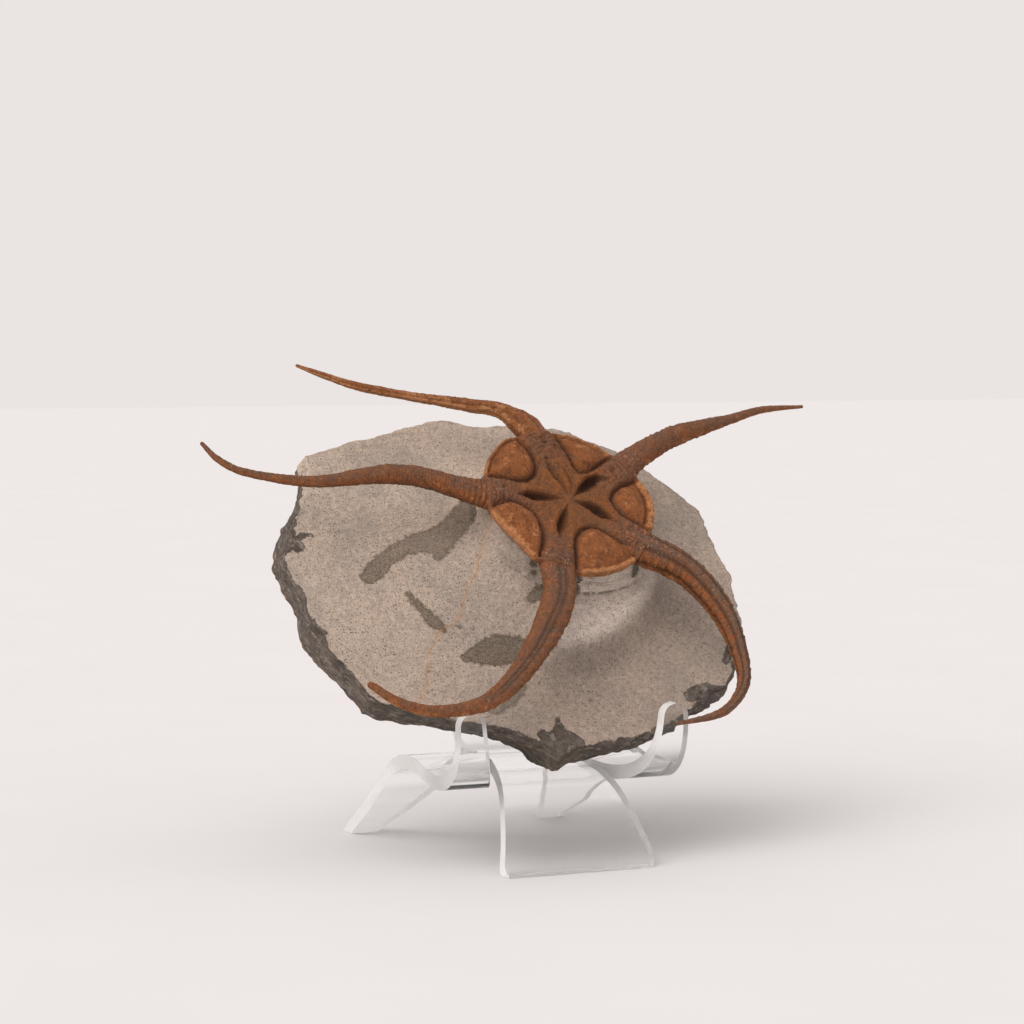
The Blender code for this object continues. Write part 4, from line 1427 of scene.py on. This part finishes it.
        # Painted shade in mottles over the lobes.
        lobe_mottled_shade = np.clip(noise_at(solid, 2.4, 13.0) + 0.5 * small - 0.02, 0.0, 1.0)
        cavity_shade = np.maximum(cavity_shade, lobe_mask * np.clip(0.9 * lobe_mottled_shade, 0.0, 0.42))
        warmth = 0.48 + 0.22 * lobe_mask - 0.14 * band * (1.0 - lobe_mask) + 0.52 * np.maximum(lip, wear)
        marks = {
            # Painted highlight: the raised crests beside the pits are made warmer and lighter.
            "warmth": warmth + 0.10 * lumps + 0.22 * crest,
            "ochre": heart * 0.55 * (1.0 - 0.6 * cavity_shade) * (1.0 - lobe_mask),
            "cavity_shade": cavity_shade,
            "dust": np.clip(0.12 + 0.5 * band + 0.2 * wear, 0.0, 0.8),
            "fresh": band * 0.35,
            # Painted glints on the bands near the rim.
            "glint": 0.45 * bell(radius - 18.0, 1.4) * (band > 0.5),
        }
        return relief, marks

    def _bands(self, radius: Array, degrees: Array) -> Array:
        """Share of arm band at each place: 1 on the rough ridges that lead to the arms."""
        band = np.zeros(len(radius))
        for middle in self.arm_angles:
            off = np.radians(angle_between(degrees, middle))
            across = np.where(np.abs(off) < math.pi / 2, np.abs(radius * np.sin(off)), radius)
            band = np.maximum(band, np.exp(-((across / self.band_half_width) ** 4)))
        return band * ease(radius, 8.0, 16.5)

    @staticmethod
    def _pit_cut(plane: Array, sign: float, pit: Route) -> tuple[Array, Array, Array]:
        """Depth, painted shade and raised crest of one petal pit, steep on one side and gentle on the
        other.
        """
        reading = read_route(plane, pit)
        width, deep = reading.columns.T
        beside = sign * reading.offset
        ends = (reading.share <= 0.0) | (reading.share >= 1.0)
        side = np.where(ends, np.where(beside > 0, 1.0, -1.0), np.sign(beside + 1e-9))
        across = side * reading.distance
        steep = ease(across, -0.30, 0.62)
        gentle = 1.0 - ease(across, 0.35 * width, 1.25 * width)
        cut = 0.85 * deep * steep * gentle
        dark = between(across, (-0.30, 0.25), (0.25 * width, 1.05 * width)) * (0.20 + 0.28 * deep)
        length = between(reading.share, (0.08, 0.35), (0.8, 1.0))
        return cut, np.clip(dark, 0.0, 0.85), bell(across + 1.0, 0.75) * length


# --- arms ------------------------------------------------------------------------
class ArmRelief(Enum):
    """How an arm's surface is sculpted."""

    LUMPY = "lumpy"
    RINGED = "ringed"
    GROOVED = "grooved"
    RIDGED = "ridged"
    BANDED = "banded"


@dataclass
class ArmSkin:
    """An arm's surface while it is worked: where each vertex lies, its relief and its tones."""

    along: Array
    theta: Array
    width: Array
    places: Array
    wander: Array
    rings: Array
    notches: Array
    near_root: Array
    offset: Array
    cavity_shade: Array
    warmth: Array
    dust: Array
    fresh: Array

    def deepen(self, hollow: Array) -> None:
        """Darken the hollows with painted shade where the new shade is deeper."""
        self.cavity_shade = np.maximum(self.cavity_shade, hollow)

    def make_grooved(self) -> None:
        """Cut a plated groove along the outer face, with a ridge on each side."""
        fade = 1.0 - ease(self.along, 38.0, 54.0)
        shifting = self.theta - 0.05 - 0.12 * noise_at(self.places, 9.0, 2.0)
        groove = bell(shifting, 0.50) * fade
        inner = np.cos(math.tau * shifting / 0.46)
        ridges = bell(self.theta - 1.0, 0.35) + bell(self.theta + 0.85, 0.35)
        self.offset -= (0.16 * self.width + 0.07 * inner) * groove
        self.offset += 0.10 * self.width * ridges * fade
        # Painted shade in the groove, which is also made less warm.
        self.deepen(groove * (0.40 - 0.30 * inner))
        self.warmth = self.warmth + 0.14 * (1.0 - groove) - 0.18 * groove

    def make_ridged(self) -> None:
        """Raise long ridges, dusty above and fresh below."""
        lines = np.cos(self.theta * 6.0 + 0.9 * noise_at(self.places, 8.0, 2.0))
        fade = 1.0 - ease(self.along, 44.0, 66.0)
        flanks = bell(self.theta + 0.6, 0.5) + bell(self.theta - 1.2, 0.5)
        self.offset += 0.10 * self.width * np.clip(lines, -0.7, 0.6) * fade
        self.offset += 0.07 * self.width * self.notches * flanks
        # Painted shade between the ridges.
        self.deepen(0.75 * np.clip(-lines - 0.1, 0.0, 1.0) * fade)
        lower = ease(self.theta, 0.25, 1.0)
        self.warmth = self.warmth - 0.10 + 0.30 * lower
        self.fresh = 0.25 + 0.65 * lower
        self.dust = self.dust + 0.70 * (1.0 - lower)

    def make_banded(self) -> None:
        """Paint shade into the grooves between the rings and dust the upper side near the root."""
        self.deepen(0.42 * np.clip(-self.rings, 0.0, 1.0))
        self.warmth = self.warmth + 0.05
        dusty = bell(self.theta + 0.45, 0.5) * (1.0 - ease(self.along, 20.0, 36.0))
        self.dust = self.dust + 0.15 + 0.45 * dusty

    def make_lumpy(self) -> None:
        """Swell the arm unevenly under long fibres."""
        fibres = np.cos(self.theta * 6.0 + 1.6 * noise_at(self.places, 6.0, 2.0))
        swells = np.clip(noise_at(self.places, 3.3, 6.0), -0.3, 1.0)
        self.offset += 0.15 * self.width * swells + 0.05 * self.width * fibres
        # Painted shade between the fibres.
        self.deepen(0.4 * np.clip(-fibres, 0.0, 1.0))
        self.warmth = self.warmth + 0.46
        self.dust = self.dust + 0.90

    def make_ringed(self) -> None:
        """Step the arm near its root."""
        steps = np.abs(np.sin(math.pi * (self.along + self.wander) / 1.25))
        self.offset += 0.09 * self.width * (steps - 0.6) * self.near_root
        # Painted shade in the steps.
        self.deepen(0.65 * self.near_root * (1.0 - ease(steps, 0.0, 0.5)))
        # Painted bounce light on the lower edge, which is made warmer and lighter.
        warm_side = bell(self.theta + 1.1, 0.4)
        self.warmth = self.warmth + 0.02 + 0.10 * self.near_root + 0.22 * warm_side


@dataclass
class StarArm:
    """One free arm: a tapering tube with its own sculpture."""

    axes: SlabAxes
    node: str
    relief: ArmRelief
    # x, y, height over the slab's face and width, in mm.
    route: Route
    sides: int = 52
    ring_step: float = 0.16
    root_flatness: float = 0.72
    # How far the arm runs into the disc, and the spacing of its rings and flank notches, in mm.
    root_overlap: float = 2.2
    ring_pitch: float = 0.66
    notch_pitch: float = 1.9

    def build(self, surface: Material) -> bpy.types.Object:
        """Make the arm.

        Args:
            surface: The fossil finish.

        Returns:
            The finished piece.
        """
        first, second = np.array(self.route[0], float), np.array(self.route[1], float)
        inward = first + (first - second) * (self.root_overlap / np.linalg.norm((first - second)[:2]))
        inward[2:] = (first[2] - 0.5, first[3] * 0.92)
        rough_length = path_length(np.array(self.route, float)[:, :3])[-1] + self.root_overlap
        count = int(rough_length / self.ring_step)
        line = smooth_line([tuple(inward), *self.route], count)
        centre, half = line[:, :3], line[:, 3] / 2
        travelled = path_length(centre)
        tangent = np.gradient(centre, axis=0)
        tangent /= np.linalg.norm(tangent, axis=1)[:, None]
        up = np.array((0.0, 0.0, 1.0)) - tangent * tangent[:, 2:3]
        up /= np.linalg.norm(up, axis=1)[:, None]
        side = np.cross(tangent, up)
        mesh = spun_blank(self.node + "_fossil", count, self.sides)
        ring, theta = ring_and_angle(mesh)
        along = travelled[ring]
        width = half[ring]
        to_tip = travelled[-1] - along
        rounding = 1.0 - np.clip(to_tip / (1.2 * half[-1]), 0.0, 1.0)
        cap = np.sqrt(np.clip(1.0 - rounding**2, 0.0, 1.0))
        pole = (ring > 0) & (ring < count - 1)
        flat = self.root_flatness + (1.0 - self.root_flatness) * ease(along, 2.0, 16.0)
        offset, marks = self._sculpt(along, theta, width, centre[ring])
        reach = (width + offset) * cap * pole
        radial = up[ring] * (np.cos(theta) * flat)[:, None] + side[ring] * np.sin(theta)[:, None]
        places = centre[ring] + radial * reach[:, None]
        move_to(mesh, self.axes.to_row(places))
        # Painted bounce light: the side facing down the slab is made warmer and lighter.
        lower_side = np.clip(-(radial[:, 1]), 0.0, 1.0)
        lift = 0.10 if self.relief is ArmRelief.RINGED else 0.30
        marks["warmth"] = marks["warmth"] + lift * ease(lower_side, 0.55, 0.95)
        for name, values in marks.items():
            paint(mesh, name, values)
        return finish_piece(self.node + "_fossil", mesh, surface, self.node)

    def _sculpt(
        self, along: Array, theta: Array, width: Array, centre: Array
    ) -> tuple[Array, dict[str, Array]]:
        """Relief of the arm and the numbers that its finish reads.

        Args:
            along: Distance from the root, in mm.
            theta: Angle round the arm from its outer face, in radians.
            width: Half width of the arm, in mm.
            centre: Centre of the arm's section, in mm.

        Returns:
            How far each vertex stands off the plain tube, in mm, and the
            painted numbers by name.
        """
        around = np.column_stack((np.cos(theta) * width, np.sin(theta) * width, np.zeros_like(theta)))
        places = centre + around
        wander = 0.35 * noise_at(places, 4.0, 8.0)
        ringed = {ArmRelief.BANDED: 1.0, ArmRelief.RINGED: 0.8}.get(self.relief, 0.22)
        uneven = 0.55 + 0.9 * np.abs(noise_at(places, 2.8, 4.0))
        rings = ringed * uneven * np.sin(math.tau * (along + wander) / self.ring_pitch)
        notches = np.clip(np.sin(math.tau * (along + 2.0 * wander) / self.notch_pitch), 0.0, 1.0) ** 2
        flank = bell(np.abs(theta) - math.pi / 2, 0.45)
        lumps = noise_at(places, 2.2, 1.0)
        bumps = noise_at(places, 0.95, 5.0)
        grain = noise_at(places, 0.5, 3.0)
        thick = np.clip(width / 2.0, 0.25, 1.0)
        offset = 0.05 * rings * thick + 0.045 * flank * notches * width + 0.06 * lumps * width
        offset += 0.16 * bumps * thick + 0.12 * grain * thick
        skin = ArmSkin(
            along, theta, width, places, wander, rings * thick, notches, 1.0 - ease(along, 3.0, 14.0),
            offset=offset,
            # Painted shade in the grooves between the rings and in the low places of the bumps.
            cavity_shade=0.30 * np.clip(-rings, 0.0, 1.0) * thick + 0.5 * np.clip(-bumps - 0.15, 0.0, 1.0),
            warmth=0.34 + 0.22 * lumps,
            dust=0.32 * bell(theta, 0.9) + 0.26,
            fresh=np.full(len(along), 0.2),
        )
        works = {
            ArmRelief.LUMPY: skin.make_lumpy,
            ArmRelief.RINGED: skin.make_ringed,
            ArmRelief.GROOVED: skin.make_grooved,
            ArmRelief.RIDGED: skin.make_ridged,
            ArmRelief.BANDED: skin.make_banded,
        }
        works[self.relief]()
        marks = {
            "warmth": skin.warmth,
            "ochre": np.zeros(len(along)),
            "cavity_shade": skin.cavity_shade,
            "dust": np.clip(skin.dust, 0.0, 1.0),
            "fresh": skin.fresh,
            # Painted glints, more of them near the root.
            "glint": 0.03 + 0.22 * skin.near_root,
        }
        return skin.offset, marks


# --- easel -----------------------------------------------------------------------
@dataclass(frozen=True)
class Strip:
    """One strip of the bent sheet."""

    # Middle line from the side: y and z. Distance of the slit edge from the middle at both ends.
    line: Route
    start: float
    end: float
    rows: int
    # Radius of the corners of the far end; a bowed edge moves most of its way in the first half.
    corner: float = 0.0
    bowed: bool = False
    # How far both long edges stand back behind the end of the slit, by the width of the saw cut.
    kerf: float = 0.0


@dataclass
class DisplayEasel:
    """The easel: one clear sheet, slit and bent into prongs, legs and a back rest."""

    at: Triple = (-2.46, 38.58, 0.0)
    sheet: float = 3.0
    half_width: float = 26.2
    front_slit: float = 11.0
    rear_slit: float = 8.6
    prong_tip_inner: float = 20.6
    front_leg_half_width: float = 18.2
    rear_foot_inner: float = 21.6
    back_rest_half_width: float = 17.6
    prong_corner: float = 2.8
    rest_corner: float = 4.0
    foot_corner: float = 4.6
    saw_cut: float = 1.2
    polish: float = 0.50
    # Height of the cut feet over the floor, so that the two faces don't coincide.
    foot_gap: float = 0.06
    polish_steps: int = 3
    # The polish rounds edges sharper than this, in degrees.
    sharp_angle: float = 50.0
    # Middle line of the bent sheet, from the side: y and z.
    hump_line: Route = ((-44, 20.0), (-40.5, 20.5), (-37, 20.6), (-33, 20.1))
    prong_line: Route = (
        (-44, 20.0), (-49, 18.9), (-54.5, 18.4), (-59.5, 19.6),
        (-63.2, 22.8), (-64.9, 27.6), (-65.1, 34.2),
    )
    front_leg_line: Route = (
        (-44, 20.0), (-48, 19.3), (-51.8, 18.4), (-55.8, 16.8), (-59.2, 14.2), (-61.9, 10.9),
        (-64.3, 7.6), (-66.4, 3.9), (-68.6, -1.6),
    )
    rear_leg_line: Route = (
        (-33, 20.1), (-28.2, 18.3), (-24.2, 15.8), (-20.4, 12.7),
        (-16, 9.6), (-11, 6.4), (1.8, -1.4),
    )
    back_rest_line: Route = (
        (-33, 20.1), (-29.8, 20.8), (-27.9, 22.9), (-27.2, 26.5), (-26.6, 36), (-25.6, 49),
    )

    def build(self, surface: Material, cut_edge: Material) -> bpy.types.Object:
        """Make the easel.

        Args:
            surface: The acrylic finish of the faces.
            cut_edge: The finish of the cut edges.

        Returns:
            The finished piece.
        """
        bm = bmesh.new()
        middle = (
            Strip(self.hump_line, self.front_slit, self.rear_slit, 8),
            Strip(
                self.front_leg_line, self.front_slit, self.front_leg_half_width, 60,
                self.foot_corner, kerf=self.saw_cut,
            ),
            Strip(self.back_rest_line, self.rear_slit, self.back_rest_half_width, 44, self.rest_corner),
        )
        outer = (
            Strip(self.hump_line, self.front_slit, self.rear_slit, 8),
            Strip(self.prong_line, self.front_slit, self.prong_tip_inner, 64, self.prong_corner, True),
            Strip(self.rear_leg_line, self.rear_slit, self.rear_foot_inner, 44),
        )
        for strip in middle:
            self._lay(bm, strip, (-strip.start, -strip.end), (strip.start, strip.end), 10)
        for sign in (-1, 1):
            for strip in outer:
                edge = (sign * self.half_width,) * 2
                self._lay(bm, strip, (sign * strip.start, sign * strip.end), edge, 6)
        bmesh.ops.remove_doubles(bm, verts=bm.verts, dist=MERGE)
        bmesh.ops.recalc_face_normals(bm, faces=bm.faces)
        bm = self._thickened(bm)
        self._cut_feet(bm)
        for vert in bm.verts:
            vert.co = Vector((np.array(vert.co) + np.array(self.at)) * MM)
        bmesh.ops.recalc_face_normals(bm, faces=bm.faces)
        mesh = into_mesh("easel_sheet", bm)
        piece = finish_piece("easel_sheet", mesh, surface, "display_stand")
        mesh.materials.append(cut_edge)
        bevel = piece.modifiers.new("Polished edges", "BEVEL")
        bevel.width = self.polish * MM
        bevel.segments = self.polish_steps
        bevel.limit_method = "ANGLE"
        bevel.angle_limit = math.radians(self.sharp_angle)
        bevel.harden_normals = True
        return piece

    @staticmethod
    def _lay(bm: BMesh, strip: Strip, left: Sequence[float], right: Sequence[float], columns: int) -> None:
        """Add one strip of the sheet.

        Args:
            bm: The mesh that takes the strip.
            strip: The strip.
            left: Position across of one long edge, at the start and at the end.
            right: Position across of the other long edge.
            columns: Number of faces across.
        """
        line = smooth_line(strip.line, strip.rows + 1)
        travelled = path_length(line)
        made = bmesh.ops.create_grid(bm, x_segments=columns, y_segments=strip.rows, size=0.5)
        for vert in made["verts"]:
            across = vert.co.x + 0.5
            row = round((vert.co.y + 0.5) * strip.rows)
            share = row / strip.rows
            if strip.bowed:
                share = math.sin(0.5 * math.pi * share) ** 1.3
            near = left[0] + (left[1] - left[0]) * share
            far = right[0] + (right[1] - right[0]) * share
            left_over = travelled[-1] - travelled[row]
            inset = 0.0
            if left_over < strip.corner:
                inset = strip.corner - math.sqrt(strip.corner**2 - (strip.corner - left_over) ** 2)
            inset += strip.kerf * (1.0 - share) * (row > 0)
            inset = math.copysign(inset, far - near)
            x = near + inset + (far - near - 2 * inset) * across
            vert.co = (x, line[row][0], line[row][1])

    def _thickened(self, bm: BMesh) -> BMesh:
        """The open sheet given its thickness, half to each side."""
        mesh = into_mesh("open_sheet", bm)
        for part in ("face", "cut edge"):
            mesh.materials.append(bpy.data.materials.new(part))
        sheet = into_scene("open_sheet", mesh)
        solidify = sheet.modifiers.new("Sheet", "SOLIDIFY")
        solidify.thickness = self.sheet
        solidify.offset = 0.0
        solidify.use_even_offset = True
        solidify.material_offset_rim = 1
        graph = bpy.context.evaluated_depsgraph_get()
        solid = bpy.data.meshes.new_from_object(sheet.evaluated_get(graph))
        made = bmesh.new()
        made.from_mesh(solid)
        bpy.data.objects.remove(sheet, do_unlink=True)
        for part in list(mesh.materials):
            bpy.data.materials.remove(part)
        bpy.data.meshes.remove(solid)
        bpy.data.meshes.remove(mesh)
        return made

    def _cut_feet(self, bm: BMesh) -> None:
        """Cut the feet flat, a hair above the floor, and close the cuts."""
        geometry = bm.verts[:] + bm.edges[:] + bm.faces[:]
        level = {"plane_co": (0, 0, self.foot_gap), "plane_no": (0, 0, 1)}
        bmesh.ops.bisect_plane(bm, geom=geometry, dist=MERGE, clear_inner=True, **level)
        open_edges = [edge for edge in bm.edges if edge.is_boundary]
        filled = bmesh.ops.holes_fill(bm, edges=open_edges, sides=0)
        for face in filled["faces"]:
            face.material_index = 1


# --- studio ----------------------------------------------------------------------
@dataclass
class Studio:
    """Pale floor, soft light and camera."""

    floor_size: float = 8.0
    air: Triple = (0.825, 0.776, 0.762)
    fill: float = 0.74
    # Soft lamps: name, direction that the light comes from, strength, angular size in degrees.
    lamps: Sequence[tuple[str, Triple, float, float]] = (
        ("soft_side", (-0.85, -0.25, 0.46), 0.85, 50.0),
        ("soft_key", (-0.62, -0.42, 0.70), 1.20, 46.0),
        ("soft_front", (-0.46, -0.52, 0.74), 0.65, 60.0),
    )
    lamp_tint: Triple = (1.0, 0.957, 0.945)
    camera_at: Triple = (-0.26832, -0.59045, 0.11138)
    camera_turn: Triple = (86.67, 0.0, -24.06)
    # Focal length and sensor width, and the nearest distance seen, in mm and m.
    lens: float = 105.46875
    sensor_width: float = 36.0
    clip_start: float = 0.01

    def build(self) -> None:
        """Make the floor, the light and the camera."""
        self._floor()
        self._light()
        self._camera()

    def _floor(self) -> None:
        """A wide pale floor."""
        bm = bmesh.new()
        bmesh.ops.create_grid(bm, x_segments=4, y_segments=4, size=self.floor_size / 2)
        mesh = into_mesh("studio_floor", bm)
        mesh.materials.append(FloorFinish().build())
        floor = into_scene("studio_floor", mesh)

    def _light(self) -> None:
        """Broad soft lamps from the left and the front left, in evenly bright air."""
        scene = bpy.context.scene
        scene.view_settings.view_transform = "Standard"
        scene.view_settings.look = "None"
        world = bpy.data.worlds.new("studio_air")
        world.use_nodes = True
        self._air(Bench(world.node_tree), world.node_tree.nodes["Background"])
        scene.world = world
        for name, source, strength, size in self.lamps:
            lamp = bpy.data.lights.new(name, "SUN")
            lamp.energy = strength
            lamp.angle = math.radians(size)
            lamp.color = self.lamp_tint
            light = into_scene(name, lamp)
            light.rotation_euler = Vector(source).to_track_quat("Z", "Y").to_euler()

    def _air(self, bench: Bench, background: Node) -> None:
        """Evenly bright air, which lights matt surfaces a little less than it shows."""
        diffuse = bench.put("ShaderNodeLightPath").outputs["Is Diffuse Ray"]
        background.inputs["Color"].default_value = (*self.air, 1.0)
        strength = bench.span(diffuse, 0.0, 1.0, 1.0, self.fill / self.air[0])
        bench.feed(background.inputs["Strength"], strength)

    def _camera(self) -> None:
        """The camera, level with the slab and a little to its left."""
        lens = bpy.data.cameras.new("studio_camera")
        lens.lens = self.lens
        lens.sensor_width = self.sensor_width
        lens.clip_start = self.clip_start
        camera = into_scene("studio_camera", lens)
        camera.location = self.camera_at
        camera.rotation_euler = tuple(math.radians(angle) for angle in self.camera_turn)
        bpy.context.scene.camera = camera


ARMS = (
    ("arm_upper_left", ArmRelief.LUMPY, (
        (-2.4, 17.0, 13.2, 7.4), (-4.4, 20.6, 14.0, 5.8), (-9.2, 24.2, 14.8, 3.7),
        (-16, 25.8, 14.8, 3.0), (-25, 28.0, 14.2, 2.2), (-34, 30.1, 14.0, 1.9),
        (-42.7, 32.5, 14.0, 1.7), (-54.0, 37.6, 14.2, 0.7),
    )),
    ("arm_left", ArmRelief.RINGED, (
        (-17.0, 2.6, 13.2, 7.2), (-25.6, 4.7, 14.0, 5.0), (-31.5, 6.6, 14.4, 4.4),
        (-38, 7.9, 14.6, 4.4), (-45, 7.8, 14.6, 3.7), (-58.5, 6.7, 14.4, 2.4),
        (-72, 9.4, 14.2, 1.7), (-77.6, 12.9, 14.2, 1.4), (-80.6, 17.4, 14.4, 0.8),
    )),
    ("arm_lower", ArmRelief.GROOVED, (
        (-7.7, -15.2, 13.2, 7.5), (-9.6, -22.8, 13.4, 6.9), (-14.1, -30.2, 13.4, 6.6),
        (-20.0, -37.1, 13.0, 5.4), (-26.6, -43.4, 12.6, 4.4), (-33.2, -47.6, 12.4, 3.5),
        (-40.0, -49.2, 12.2, 2.8), (-47.2, -49.2, 12.4, 2.4), (-53.6, -46.9, 12.8, 2.0),
        (-59.2, -42.3, 13.2, 1.4),
    )),
    ("arm_lower_right", ArmRelief.RIDGED, (
        (12.6, -11.2, 13.2, 8.2), (21.8, -17.5, 13.2, 6.4), (26.5, -24.4, 13.0, 5.6),
        (28.5, -32.0, 13.0, 4.6), (28.2, -41.1, 13.2, 3.4), (26.4, -47.5, 13.6, 2.7),
        (22.2, -52.4, 14.0, 2.2), (16.4, -55.6, 14.4, 1.7), (5.9, -57.2, 14.4, 0.7),
    )),
    ("arm_upper_right", ArmRelief.BANDED, (
        (15.0, 8.2, 13.2, 7.2), (22.2, 12.4, 14.2, 5.4), (31.4, 16.7, 14.4, 4.7),
        (40, 19.2, 14.4, 3.5), (48.7, 21.5, 14.4, 2.3), (57.6, 23.9, 14.4, 1.6),
        (69, 24.7, 14.4, 0.7),
    )),
)


def main() -> None:
    """Load the frame, build every piece and set the studio up."""
    logging.basicConfig(level=logging.INFO, format="%(message)s")
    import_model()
    axes = SlabAxes()
    groups = StoneGroups()
    MatrixSlab(axes).build(RockFinish().build(groups))
    fossil = FossilFinish().build(groups)
    StarDisc(axes).build(fossil)
    for node, relief, route in ARMS:
        StarArm(axes, node, relief, route).build(fossil)
    acrylic = AcrylicFinish()
    DisplayEasel().build(acrylic.build(), acrylic.build_edge())
    Studio().build()


if __name__ == "__main__":
    main()
